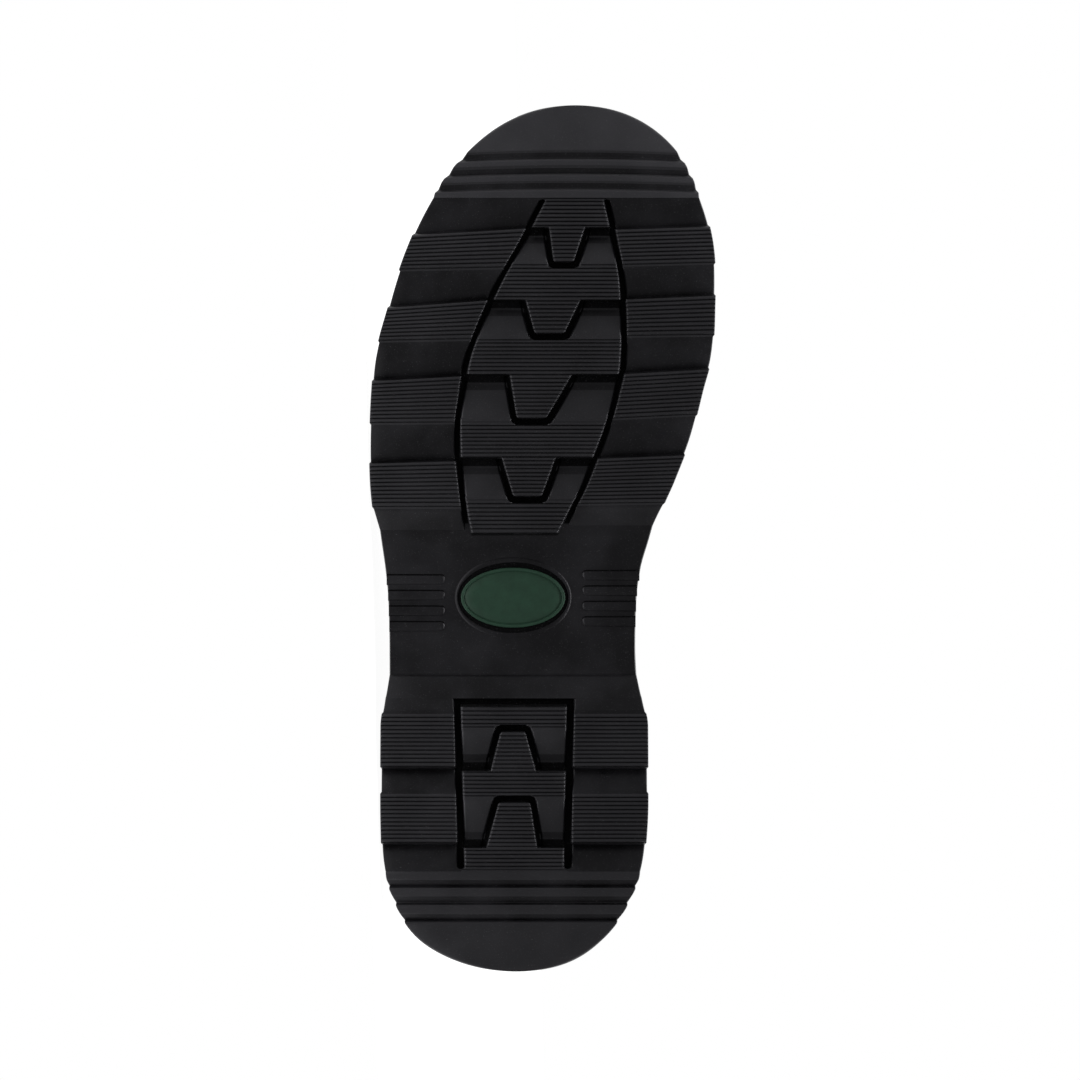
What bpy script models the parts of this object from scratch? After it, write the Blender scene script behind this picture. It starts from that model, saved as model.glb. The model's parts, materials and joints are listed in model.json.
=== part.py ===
"""Right-foot lace-up work boot with a lugged rubber outsole, lying on its outer side.

The boot is worked out standing, in millimetres: x runs from the back of the heel to the toe,
y from the outer (lateral) to the inner (medial) side, and z up from the tread.
An empty then lays it on the floor, on the facet of its hull under its balance point.
"""

import math
from bisect import bisect_right
from collections import namedtuple

import bmesh
import bpy
from mathutils import Matrix, Vector

MM = 0.001
LATERAL, MEDIAL = -1, 1

# Driving sizes of the boot
LENGTH = 304.0
HEEL_ROUND = 45.0
TOE_ROUND = 85.0
END_POWER = 2.2
SEAT_GAP = 0.3
BALANCE_X, BALANCE_Z = 140.0, 45.0
LATERAL_LEAN = 0.2
STATION_COUNT = 14
HEEL_TURN, TOE_TURN = 15, 10
WELD = 1e-6

# Sizes of the outsole
BASE_INSET = 1.7
TOP_INSET = 2.4
SLOPE_INSET = 1.0
SIDE_LUG_SHARE = 0.62
SLOPE_DEPTH = 4.0
WALL_DRAFT = 0.7
GROOVE = 2.6
OVERLAP = 0.5
RIDGE_DEPTH = 1.4
RIDGE_HALF = 1.6
TOE_RIDGES = (286.6, 280.7, 275.3)
HEEL_RIDGES = (30.4, 23.6, 17.2)
TOE_SLOPE_X = 273.0
TOE_BLOCK_X = 270.6
HEEL_BLOCK_X = 35.0
TIP_CLEARANCE = 1.0
BREAST_FRONT_X, BREAST_BACK_X = 104.0, 95.6
BREAST_LIP = 0.1
TOOTH_GAP = 1.7
TOOTH_GAP_DEPTH = 4.3
TOOTH_GAP_RISE = 1.0
TOOTH_SINK = 0.05
TOOTH_ROOT, TOOTH_FOOT = 2.0, 1.0

# Sizes of the badge set in the waist
BADGE_X, BADGE_Y = 131.3, -0.4
BADGE_LENGTH, BADGE_WIDTH = 36.4, 21.2
BADGE_RECESS = 1.1
BADGE_RECESS_DEPTH = 1.6
BADGE_RECESS_RISE = 5.0
BADGE_THICKNESS = 1.6

# Sizes of the upper and what is sewn to it
UPPER_INSET = 8.5
UPPER_TRIM = 2.5
SIDE_MARGIN = 20.0
INSET_FADE = 40.0
WALL = 2.4
UPPER_COLUMNS = 9
COLUMN_CROWDING = 1.35
WELT_GAP = 0.9
WELT_INSET = 3.0
WELT_THICKNESS = 3.4
INSOLE_THICKNESS = 4.0
INSOLE_GAP = 2.9
LEAN_END_X, LEAN_FADE = 180.0, 80.0
NORMAL_STEP = 0.02
THROAT_ROW = 9.0
THROAT_ROUND_ROWS = 1.6
THROAT_HALF = 12.0
TONGUE_START_ROW = 8.2
TONGUE_HALF_LOW, TONGUE_HALF_HIGH = 19.0, 27.0
TONGUE_TAPER, TONGUE_TAPER_START = 0.4, 0.75
TONGUE_THICKNESS = 3.0
TONGUE_GAP = 2.6
TONGUE_RISE = 14.0
TONGUE_ROWS, TONGUE_COLUMNS = 16, 8

# Sizes of the lacing
EYELET_PAIRS = 6
EYELET_SETBACK = 9.0
EYELET_FIRST_ROW, EYELET_LAST_ROW = 10.2, 19.5
EYELET_FLANGE_R, EYELET_BARREL_R, EYELET_BORE_R = 5.0, 3.1, 2.4
EYELET_FLANGE_T = 1.1
EYELET_LIFT = 0.6
EYELET_STEPS = 10
EYELET_SAMPLES = 60
LACE_R = 1.8
LACE_LIFT_END, LACE_LIFT_LOWER, LACE_LIFT_UPPER = 3.9, 1.2, 1.7
LACE_END_SHIFT = 2.4
LACE_END_SHARE = 0.25
LACE_POINTS = 9

# Outline of the tread seen from below: half width and middle line at each station
Outline = namedtuple("Outline", "x half mid")
OUTLINE = [
    Outline(0, 45.2, 0.6),
    Outline(12, 45.4, -1.3),
    Outline(24, 45.0, -0.9),
    Outline(35, 45.9, -0.5),
    Outline(60, 47.0, 0.0),
    Outline(86, 46.9, 0.0),
    Outline(98, 45.2, -0.3),
    Outline(114, 44.8, -0.7),
    Outline(130, 45.2, -0.7),
    Outline(141, 46.4, -0.5),
    Outline(151, 48.5, 0.2),
    Outline(162, 50.8, 1.1),
    Outline(172, 53.4, 2.8),
    Outline(188, 56.5, 5.7),
    Outline(204, 58.2, 8.1),
    Outline(215, 59.1, 10.1),
    Outline(236, 57.8, 13.5),
    Outline(257, 57.6, 16.6),
    Outline(275, 57.2, 18.6),
    Outline(290, 57.3, 20.6),
    Outline(304, 57.5, 21.4),
]

# Heights along the sole: ground face of the lugs, depth of the floor between them, and top face
Profile = namedtuple("Profile", "x tread floor_depth top")
PROFILE = [
    Profile(0, 6.0, 5.0, 30.0),
    Profile(17, 1.8, 5.0, 30.0),
    Profile(34, 0.0, 5.0, 29.8),
    Profile(92, 0.0, 5.0, 26.5),
    Profile(104, 0.0, 8.5, 25.0),
    Profile(125, 0.0, 9.5, 22.0),
    Profile(146, 0.0, 8.0, 19.0),
    Profile(155, 0.0, 5.6, 18.0),
    Profile(165, 0.0, 5.0, 17.0),
    Profile(200, 0.0, 5.0, 15.0),
    Profile(218, 0.0, 5.0, 15.2),
    Profile(245, 1.8, 5.0, 17.2),
    Profile(270, 5.6, 5.0, 21.0),
    Profile(290, 10.2, 5.0, 25.5),
    Profile(304, 14.5, 5.0, 29.0),
]

# Side lugs of the forefoot: front and back of each ground band, at the outline and at the groove
SideLug = namedtuple("SideLug", "front_outer front_inner back_outer back_inner")
LATERAL_LUGS = [
    SideLug(258.2, 260.4, 246.1, 246.8),
    SideLug(232.7, 235.2, 221.1, 221.7),
    SideLug(207.0, 208.6, 192.3, 192.5),
    SideLug(178.1, 178.9, 162.9, 162.9),
]
MEDIAL_LUGS = [
    SideLug(261.1, 260.1, 248.5, 247.7),
    SideLug(236.9, 235.6, 223.2, 222.8),
    SideLug(211.1, 209.5, 195.3, 193.9),
    SideLug(181.0, 179.8, 164.4, 164.0),
]
LATERAL_SLOPE_END, MEDIAL_SLOPE_END = 154.8, 156.4

# Grooves that bound the middle panel of the forefoot
GrooveLine = namedtuple("GrooveLine", "x lateral medial")
GROOVES = [
    GrooveLine(153, -15.8, 15.8),
    GrooveLine(161, -17.4, 19.8),
    GrooveLine(170, -18.6, 24.4),
    GrooveLine(181, -19.7, 28.8),
    GrooveLine(191, -19.9, 32.6),
    GrooveLine(202, -18.6, 35.8),
    GrooveLine(213, -16.8, 38.0),
    GrooveLine(225, -12.8, 38.5),
    GrooveLine(241, -5.6, 37.8),
    GrooveLine(258, 3.7, 34.9),
    GrooveLine(272, 10.7, 32.0),
]

# Lugs of the middle panels: a ground band from front to back, and a tooth from the band's edge to its tip
Band = namedtuple("Band", "front back")
Tooth = namedtuple("Tooth", "root tip root_lateral root_medial tip_lateral tip_medial")
FOREFOOT_BANDS = [
    Band(271.2, 261.0),
    Band(247.7, 235.6),
    Band(221.5, 209.5),
    Band(192.6, 180.2),
    Band(165.3, 153.6),
]
FOREFOOT_TEETH = [
    Tooth(261.0, 248.5, 12.1, 24.9, 13.7, 20.8),
    Tooth(235.6, 223.6, 3.8, 23.3, 7.1, 17.5),
    Tooth(209.5, 193.9, -1.7, 20.4, 0.8, 11.2),
    Tooth(180.2, 166.5, -4.5, 14.6, -0.4, 9.6),
]
HEEL_SIDE_BANDS = [Band(90.4, 71.8), Band(62.4, 45.2)]
HEEL_PANEL_BANDS = [Band(92.7, 85.7), Band(70.4, 61.7), Band(43.4, 35.8)]
HEEL_TEETH = [
    Tooth(70.4, 84.3, -8.4, 7.7, -4.8, 3.8),
    Tooth(43.4, 59.5, -9.9, 8.1, -5.5, 5.6),
]
HEEL_PANEL_LATERAL, HEEL_PANEL_MEDIAL = -18.4, 17.5
HEEL_LUG_LATERAL, HEEL_LUG_MEDIAL = -20.9, 20.9

# Sections of the last: each runs from a low point, on the sole or up the back, to the ridge or shaft front.
# The cap is the share of the section that closes over the top, and the roundness the power of its curve.
Section = namedtuple("Section", "top_x top_z low_x low_z cap roundness")
ON_SOLE = None
LAST = [
    Section(295.5, 27.4, 295.5, ON_SOLE, 1.0, 2.4),
    Section(295.0, 37.0, 295.0, ON_SOLE, 1.0, 2.4),
    Section(293.0, 47.0, 293.0, ON_SOLE, 1.0, 2.4),
    Section(289.0, 55.5, 289.0, ON_SOLE, 1.0, 2.4),
    Section(282.0, 62.5, 282.0, ON_SOLE, 1.0, 2.4),
    Section(271.0, 68.0, 271.0, ON_SOLE, 1.0, 2.4),
    Section(257.0, 72.0, 257.0, ON_SOLE, 1.0, 2.4),
    Section(243.0, 76.0, 243.0, ON_SOLE, 1.0, 2.3),
    Section(229.0, 82.0, 227.0, ON_SOLE, 1.0, 2.2),
    Section(214.0, 91.0, 208.0, ON_SOLE, 1.0, 2.1),
    Section(199.5, 103.0, 187.0, ON_SOLE, 0.97, 2.05),
    Section(187.0, 114.5, 163.0, ON_SOLE, 0.92, 2.0),
    Section(176.5, 125.5, 136.0, ON_SOLE, 0.85, 2.0),
    Section(168.0, 135.0, 108.0, ON_SOLE, 0.77, 2.0),
    Section(161.5, 142.5, 80.0, ON_SOLE, 0.69, 2.0),
    Section(156.8, 148.3, 50.0, ON_SOLE, 0.62, 2.0),
    Section(153.2, 152.8, 25.0, ON_SOLE, 0.57, 2.05),
    Section(150.4, 156.6, 11.5, ON_SOLE, 0.54, 2.1),
    Section(147.2, 161.4, 8.5, ON_SOLE, 0.52, 2.1),
    Section(144.6, 165.8, 8.2, 34.5, 0.51, 2.1),
    Section(143.0, 168.8, 6.5, 52.0, 0.5, 2.15),
    Section(141.8, 171.2, 8.0, 78.0, 0.5, 2.2),
    Section(140.9, 173.2, 13.0, 104.0, 0.5, 2.2),
    Section(140.1, 175.0, 17.5, 130.0, 0.5, 2.2),
    Section(139.5, 176.5, 18.5, 164.0, 0.5, 2.2),
]
SEAT_ROW = 18

# Width of the upper above the welt, as a share of its width there
Girth = namedtuple("Girth", "z share")
GIRTHS = [Girth(30, 1.0), Girth(60, 1.03), Girth(100, 1.0), Girth(140, 1.04), Girth(176, 1.08)]

# Colour, roughness and metallic value of each material
Finish = namedtuple("Finish", "colour roughness metallic")
FINISHES = {
    "rubber": Finish((0.010, 0.010, 0.011), 0.55, 0.0),
    "badge_rubber": Finish((0.013, 0.060, 0.035), 0.5, 0.0),
    "welt_leather": Finish((0.012, 0.011, 0.010), 0.5, 0.0),
    "leather": Finish((0.014, 0.013, 0.012), 0.45, 0.0),
    "tongue_leather": Finish((0.014, 0.013, 0.012), 0.5, 0.0),
    "insole_board": Finish((0.05, 0.048, 0.045), 0.85, 0.0),
    "lace_cord": Finish((0.015, 0.015, 0.016), 0.8, 0.0),
    "eyelet_metal": Finish((0.08, 0.08, 0.085), 0.35, 1.0),
}


# Curves worked out from the tables


def smooth(rows, key, value):
    """A monotone cubic through one column of a table, as a function of another column."""
    xs = [float(getattr(row, key)) for row in rows]
    ys = [float(getattr(row, value)) for row in rows]
    steps = [(ys[i + 1] - ys[i]) / (xs[i + 1] - xs[i]) for i in range(len(xs) - 1)]
    slopes = [steps[0]]
    for before, after in zip(steps, steps[1:]):
        slopes.append(2 * before * after / (before + after) if before * after > 0 else 0.0)
    slopes.append(steps[-1])

    def at(x):
        x = min(max(x, xs[0]), xs[-1])
        i = min(bisect_right(xs, x), len(xs) - 1) - 1
        width = xs[i + 1] - xs[i]
        u = (x - xs[i]) / width
        rise = u * u * (3 - 2 * u)
        bend = u * (1 - u) * ((1 - u) * slopes[i] - u * slopes[i + 1]) * width
        return ys[i] + rise * (ys[i + 1] - ys[i]) + bend

    return at


outline_half = smooth(OUTLINE, "x", "half")
outline_mid = smooth(OUTLINE, "x", "mid")
tread_z = smooth(PROFILE, "x", "tread")
floor_depth = smooth(PROFILE, "x", "floor_depth")
top_z = smooth(PROFILE, "x", "top")
groove_lateral = smooth(GROOVES, "x", "lateral")
groove_medial = smooth(GROOVES, "x", "medial")
girth = smooth(GIRTHS, "z", "share")


def floor_z(x):
    return tread_z(x) + floor_depth(x)


def side_z(x):
    """Top of the raised lug band on the sole's side."""
    return floor_z(x) + SIDE_LUG_SHARE * (top_z(x) - floor_z(x))


def rounded_end(distance, radius):
    """Share of the full width at a distance from a round end."""
    if distance >= radius:
        return 1.0
    return (1 - (1 - max(distance, 0.0) / radius) ** END_POWER) ** (1 / END_POWER)


def rim(x, inset):
    """Middle line and half width of the outline drawn in by an inset, at a station."""
    station = (x - inset) * LENGTH / (LENGTH - 2 * inset)
    ends = rounded_end(station, HEEL_ROUND) * rounded_end(LENGTH - station, TOE_ROUND)
    half = outline_half(station) * ends
    return outline_mid(station), half - inset * min(1.0, half / INSET_FADE)


def edge_y(side, x, inset=0.0):
    mid, half = rim(x, inset)
    return mid + side * half


def stations(inset):
    """Places along the outline, close together where the ends are round."""
    heel_turns = [math.radians(angle) for angle in range(0, 90, HEEL_TURN)]
    toe_turns = [math.radians(angle) for angle in range(0, 90, TOE_TURN)]
    heel = [inset + HEEL_ROUND * (1 - math.cos(turn)) for turn in heel_turns]
    toe = [LENGTH - inset - TOE_ROUND * (1 - math.cos(turn)) for turn in toe_turns]
    first, last = HEEL_ROUND, LENGTH - TOE_ROUND
    middle = [first + (last - first) * i / STATION_COUNT for i in range(1, STATION_COUNT)]
    return heel + middle + toe[::-1]


# Surface of the last


def on_sole(sec):
    return sec._replace(low_z=top_z(sec.low_x) - UPPER_TRIM)


SECTIONS = [on_sole(sec) if sec.low_z is ON_SOLE else sec for sec in LAST]
LAST_ROW = len(SECTIONS) - 1
back_x = smooth(SECTIONS[SEAT_ROW:], "low_z", "low_x")


def section(row):
    """The section at a row of the table, whole or part, or further up the shaft past the collar."""
    if row > LAST_ROW:
        before, sec = SECTIONS[-2:]
        run_x, run_z = sec.top_x - before.top_x, sec.top_z - before.top_z
        past = row - LAST_ROW
        return sec._replace(
            top_x=sec.top_x + run_x * past,
            top_z=sec.top_z + run_z * past,
            low_x=sec.low_x + run_x * past,
            low_z=sec.low_z + run_z * past,
        )
    i = min(max(int(row), 0), LAST_ROW - 1)
    around = [SECTIONS[min(max(k, 0), LAST_ROW)] for k in (i - 1, i, i + 1, i + 2)]
    u = row - i
    weights = (
        (-u + 2 * u * u - u**3) / 2,
        (2 - 5 * u * u + 3 * u**3) / 2,
        (u + 4 * u * u - 3 * u**3) / 2,
        (-u * u + u**3) / 2,
    )
    made = Section(*(sum(w * v for w, v in zip(weights, column)) for column in zip(*around)))
    return on_sole(made) if row <= SEAT_ROW else made._replace(low_x=back_x(made.low_z))


def last_half(x, z):
    """Middle line and half width of the upper at a height, before it closes over the top."""
    fade = min(max((LEAN_END_X - x) / LEAN_FADE, 0.0), 1.0)
    lean = (back_x(z) - SECTIONS[SEAT_ROW].low_x) * fade
    mid, half = rim(x - lean, UPPER_INSET)
    return mid, half * girth(z)


def last_point(row, angle, side):
    """A point on the outside of the upper: angle 0 at the sole or back seam, 90 degrees at the ridge."""
    sec = section(row)
    up = min(math.sin(angle), 1.0) ** (2 / sec.roundness)
    inward = max(1 - (1 - up) / sec.cap, 0.0)
    across = max(1 - inward**sec.roundness, 0.0) ** (1 / sec.roundness)
    x = sec.low_x + (sec.top_x - sec.low_x) * up
    z = sec.low_z + (sec.top_z - sec.low_z) * up
    mid, half = last_half(x, z)
    return Vector((x, mid + side * max(half, 0.0) * across, z))


def angle_at(row, width):
    """The angle where the upper is a given half width from its middle line, near the ridge."""
    sec = section(row)
    across = min(width / last_half(sec.top_x, sec.top_z)[1], 1.0)
    inward = (1 - across**sec.roundness) ** (1 / sec.roundness)
    up = 1 - (1 - inward) * sec.cap
    return math.asin(up ** (sec.roundness / 2))


def last_normal(row, angle, side):
    ahead, behind = row + NORMAL_STEP, row - NORMAL_STEP
    high, low = min(angle + NORMAL_STEP, math.pi / 2), angle - NORMAL_STEP
    along = last_point(ahead, angle, side) - last_point(behind, angle, side)
    up = last_point(row, high, side) - last_point(row, low, side)
    return (side * along.cross(up)).normalized()


def over_last(row, width, lift):
    """A point at a signed half width from the middle line, lifted off the upper's face."""
    side = MEDIAL if width > 0 else LATERAL
    angle = angle_at(row, abs(width))
    return last_point(row, angle, side) + last_normal(row, angle, side) * lift


def throat_half(row):
    """Half width of the lacing gap: round at its base, then even up to the collar."""
    share = min(max((row - THROAT_ROW) / THROAT_ROUND_ROWS, 0.0), 1.0)
    return THROAT_HALF * math.sqrt(1 - (1 - share) ** 2)


# Blender helpers


def clear_scene():
    for obj in list(bpy.data.objects):
        bpy.data.objects.remove(obj)


def collection(name):
    made = bpy.data.collections.new(name)
    bpy.context.scene.collection.children.link(made)
    return made


clear_scene()
PARTS = collection("work_boot")
CUTTERS = collection("work_boot_cutters")
BOOT = bpy.data.objects.new("boot", None)
PARTS.objects.link(BOOT)


def material(name):
    made = bpy.data.materials.get(name)
    if made is None:
        finish = FINISHES[name]
        made = bpy.data.materials.new(name)
        made.use_nodes = True
        shader = made.node_tree.nodes["Principled BSDF"]
        shader.inputs["Base Color"].default_value = (*finish.colour, 1.0)
        shader.inputs["Roughness"].default_value = finish.roughness
        shader.inputs["Metallic"].default_value = finish.metallic
    return made


def new_object(name, mesh, finish=None):
    """A part of the boot, or with no finish a cutter that only shapes one."""
    obj = bpy.data.objects.new(name, mesh)
    obj.parent = BOOT
    if finish:
        PARTS.objects.link(obj)
        if not mesh.materials:
            mesh.materials.append(material(finish))
    else:
        CUTTERS.objects.link(obj)
        obj.hide_render = True
        obj.display_type = "WIRE"
    return obj


def to_mesh(name, bm, smooth_angle=None):
    bmesh.ops.remove_doubles(bm, verts=bm.verts, dist=WELD)
    bmesh.ops.dissolve_degenerate(bm, edges=bm.edges, dist=WELD / 10)
    mesh = bpy.data.meshes.new(name)
    bm.to_mesh(mesh)
    bm.free()
    if smooth_angle:
        mesh.shade_smooth()
        mesh.set_sharp_from_angle(angle=math.radians(smooth_angle))
    return mesh


def add_strips(bm, rows, close_rows=False, close_columns=False):
    """Vertices for rows of points in millimetres, and the quads between them."""
    made = [[bm.verts.new(Vector(point) * MM) for point in row] for row in rows]
    pairs = list(zip(made, made[1:])) + ([(made[-1], made[0])] if close_rows else [])
    for a, b in pairs:
        count = len(a)
        for i in range(count if close_columns else count - 1):
            k = (i + 1) % count
            bm.faces.new((a[i], a[k], b[k], b[i]))
    return made


def loft(name, rings, finish=None, loop=False):
    """A closed solid through rings of points, capped at both ends or carried round in a loop."""
    bm = bmesh.new()
    made = add_strips(bm, rings, close_rows=loop, close_columns=True)
    if not loop:
        bm.faces.new(made[0])
        bm.faces.new(made[-1])
    bmesh.ops.remove_doubles(bm, verts=bm.verts, dist=WELD)
    bmesh.ops.recalc_face_normals(bm, faces=bm.faces)
    return new_object(name, to_mesh(name, bm, smooth_angle=40), finish)


def boolean(obj, cutter, operation):
    modifier = obj.modifiers.new(cutter.name, "BOOLEAN")
    modifier.operation = operation
    modifier.object = cutter
    return modifier


def solidify(obj, thickness):
    modifier = obj.modifiers.new("wall", "SOLIDIFY")
    modifier.thickness = thickness * MM
    modifier.offset = -1
    return modifier


# Outsole

Station = namedtuple("Station", "left_x right_x depth inset")


def tread_strip(name, rows, left_y, right_y):
    """A run of tread between two edges, with the place, depth and inset of each row."""
    rings = []
    for row in rows:
        ends = [(row.left_x, left_y), (row.right_x, right_y)]
        points = [(x, y(x, row.inset), tread_z(x) + row.depth, side_z(x)) for x, y in ends]
        (lx, ly, lz, lroof), (rx, ry, rz, rroof) = points
        rings.append([(lx, ly, lroof), (lx, ly, lz), (rx, ry, rz), (rx, ry, rroof)])
    return loft(name, rings)


def lateral_edge(x, inset):
    return edge_y(LATERAL, x, inset)


def medial_edge(x, inset):
    return edge_y(MEDIAL, x, inset)


def constant_edge(y):
    return lambda x, inset: y


def groove_edge(middle, shift):
    """An edge beside the middle line of a groove."""
    return lambda x, inset: middle(x) + shift


def forefoot_side_rows(lugs, slope_end, outer_left):
    """Sawtooth run: each band is flat on the ground, then slopes back to the wall of the next one."""

    def row(outer, inner, depth, inset):
        left, right = (outer, inner) if outer_left else (inner, outer)
        return Station(left, right, depth, inset)

    start_depth = SLOPE_DEPTH * (TOE_SLOPE_X - TOE_BLOCK_X) / (TOE_SLOPE_X - lugs[0].front_inner)
    rows = [row(TOE_BLOCK_X + OVERLAP, TOE_BLOCK_X + OVERLAP, start_depth, SLOPE_INSET)]
    for lug in lugs:
        foot_outer, foot_inner = lug.front_outer + WALL_DRAFT, lug.front_inner + WALL_DRAFT
        rows.append(row(foot_outer, foot_inner, SLOPE_DEPTH, SLOPE_INSET))
        rows.append(row(lug.front_outer, lug.front_inner, 0.0, 0.0))
        rows.append(row(lug.back_outer, lug.back_inner, 0.0, 0.0))
    rows.append(row(slope_end, slope_end, floor_depth(slope_end), SLOPE_INSET))
    return rows


def heel_side_rows():
    """The heel's sawtooth runs the other way: a wall behind each band, then a slope up to the next."""
    first = HEEL_SIDE_BANDS[0].front
    breast_depth = floor_depth(BREAST_FRONT_X) * (BREAST_BACK_X - first) / (BREAST_FRONT_X - first)
    rows = [Station(BREAST_BACK_X + OVERLAP, BREAST_BACK_X + OVERLAP, breast_depth, SLOPE_INSET)]
    for band in HEEL_SIDE_BANDS:
        rows.append(Station(band.front, band.front, 0.0, 0.0))
        rows.append(Station(band.back, band.back, 0.0, 0.0))
        foot = band.back - WALL_DRAFT
        rows.append(Station(foot, foot, SLOPE_DEPTH, SLOPE_INSET))
    rows.append(Station(HEEL_BLOCK_X - OVERLAP, HEEL_BLOCK_X - OVERLAP, 0.0, SLOPE_INSET))
    return rows


def panel_rows(bands, wall_behind):
    """Middle panel: bands with slopes between them, and a wall on one side of each slope."""
    rows = []
    for i, band in enumerate(bands):
        if i and not wall_behind:
            rows.append(Station(band.front + WALL_DRAFT, band.front + WALL_DRAFT, SLOPE_DEPTH, 0.0))
        rows.append(Station(band.front, band.front, 0.0, 0.0))
        rows.append(Station(band.back, band.back, 0.0, 0.0))
        if wall_behind and band is not bands[-1]:
            rows.append(Station(band.back - WALL_DRAFT, band.back - WALL_DRAFT, SLOPE_DEPTH, 0.0))
    return rows


def ridged_rows(ridges, start, end_x):
    """A full-width end block: ridges between narrow grooves, then a smooth round tip."""
    away = 1 if end_x > start else -1
    rows = [Station(start, start, 0.0, SLOPE_INSET)]
    for x in sorted(ridges, key=lambda place: abs(place - start)):
        rows.append(Station(x - away * RIDGE_HALF, x - away * RIDGE_HALF, 0.0, 0.0))
        rows.append(Station(x, x, RIDGE_DEPTH, 0.0))
    last = rows[-1].left_x + away * RIDGE_HALF
    rows.append(Station(last, last, 0.0, 0.0))
    tip = [x for x in stations(0.0) if (x - last) * away > TIP_CLEARANCE]
    rows += [Station(x, x, 0.0, 0.0) for x in sorted(tip, reverse=away < 0)]
    return rows


def tooth_prism(name, tooth, grow, depth, sink):
    """A trapezoid from inside its band to its tip, grown on three sides for the gap around it."""
    ahead = 1 if tooth.tip > tooth.root else -1
    root = tooth.root if grow else tooth.root - ahead * TOOTH_ROOT
    tip = tooth.tip + ahead * grow
    ends = [
        (root, tooth.root_lateral - grow, tooth.root_medial + grow),
        (tip, tooth.tip_lateral - grow, tooth.tip_medial + grow),
    ]
    rings = []
    for x, lateral, medial in ends:
        low, high = tread_z(x) + sink, tread_z(x) + depth
        rings.append([(x, lateral, high), (x, lateral, low), (x, medial, low), (x, medial, high)])
    return loft(name, rings)


def oval(name, length, width, low, high, finish=None):
    """An oval plate lying across the waist."""
    bm = bmesh.new()
    bmesh.ops.create_cone(bm, cap_ends=True, segments=32, radius1=0.5, radius2=0.5, depth=1.0)
    bmesh.ops.scale(bm, vec=Vector((width, length, high - low)) * MM, verts=bm.verts)
    bmesh.ops.translate(bm, vec=Vector((BADGE_X, BADGE_Y, (low + high) / 2)) * MM, verts=bm.verts)
    return new_object(name, to_mesh(name, bm, smooth_angle=40), finish)


def sole_base():
    """The body of the outsole under the lugs, from the floor of the tread to its top face."""
    shoulder = TOP_INSET - BASE_INSET
    rings = []
    for x in stations(BASE_INSET):
        mid, half = rim(x, BASE_INSET)
        lines = [
            (half, floor_z(x)),
            (half, top_z(x) - shoulder),
            (max(half - shoulder, 0.0), top_z(x)),
        ]
        lateral = [(x, mid - reach, z) for reach, z in lines]
        medial = [(x, mid + reach, z) for reach, z in lines]
        rings.append(lateral + medial[::-1])
    return loft("outsole", rings, "rubber")


def outsole():
    base = sole_base()
    half = GROOVE / 2
    lateral_rows = forefoot_side_rows(LATERAL_LUGS, LATERAL_SLOPE_END, outer_left=True)
    medial_rows = forefoot_side_rows(MEDIAL_LUGS, MEDIAL_SLOPE_END, outer_left=False)
    tread = [
        tread_strip("lateral_lugs", lateral_rows, lateral_edge, groove_edge(groove_lateral, -half)),
        tread_strip("medial_lugs", medial_rows, groove_edge(groove_medial, half), medial_edge),
        tread_strip(
            "forefoot_panel",
            panel_rows(FOREFOOT_BANDS, wall_behind=True),
            groove_edge(groove_lateral, half),
            groove_edge(groove_medial, -half),
        ),
        tread_strip("lateral_heel_lugs", heel_side_rows(), lateral_edge, constant_edge(HEEL_LUG_LATERAL)),
        tread_strip("medial_heel_lugs", heel_side_rows(), constant_edge(HEEL_LUG_MEDIAL), medial_edge),
        tread_strip(
            "heel_panel",
            panel_rows(HEEL_PANEL_BANDS, wall_behind=False),
            constant_edge(HEEL_PANEL_LATERAL),
            constant_edge(HEEL_PANEL_MEDIAL),
        ),
    ]
    toe_rows = ridged_rows(TOE_RIDGES, TOE_BLOCK_X, LENGTH)
    heel_rows = ridged_rows(HEEL_RIDGES, HEEL_BLOCK_X, 0.0)
    tread.append(tread_strip("toe_block", toe_rows, lateral_edge, medial_edge))
    tread.append(tread_strip("heel_block", heel_rows, lateral_edge, medial_edge))
    breast_end = heel_side_rows()[0].depth
    breast_rows = [
        Station(BREAST_FRONT_X, BREAST_FRONT_X, floor_depth(BREAST_FRONT_X) - BREAST_LIP, SLOPE_INSET),
        Station(BREAST_BACK_X, BREAST_BACK_X, breast_end, SLOPE_INSET),
    ]
    tread.append(tread_strip("heel_breast", breast_rows, lateral_edge, medial_edge))
    for strip in tread:
        boolean(base, strip, "UNION")
    for i, tooth in enumerate(FOREFOOT_TEETH + HEEL_TEETH, start=1):
        gap = tooth_prism(f"tooth_gap_{i}", tooth, TOOTH_GAP, TOOTH_GAP_DEPTH, -TOOTH_GAP_RISE)
        boolean(base, gap, "DIFFERENCE")
    for i, tooth in enumerate(FOREFOOT_TEETH + HEEL_TEETH, start=1):
        foot = floor_depth(tooth.root) + TOOTH_FOOT
        solid = tooth_prism(f"tooth_{i}", tooth, 0.0, foot, TOOTH_SINK)
        boolean(base, solid, "UNION")
    recess_top = floor_z(BADGE_X) + BADGE_RECESS_DEPTH
    recess = oval(
        "badge_recess",
        BADGE_LENGTH + 2 * BADGE_RECESS,
        BADGE_WIDTH + 2 * BADGE_RECESS,
        floor_z(BADGE_X) - BADGE_RECESS_RISE,
        recess_top,
    )
    boolean(base, recess, "DIFFERENCE")
    return recess_top


def badge(recess_top):
    high = recess_top - SEAT_GAP
    oval("badge", BADGE_LENGTH, BADGE_WIDTH, high - BADGE_THICKNESS, high, "badge_rubber")


# Welt and insole


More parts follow.
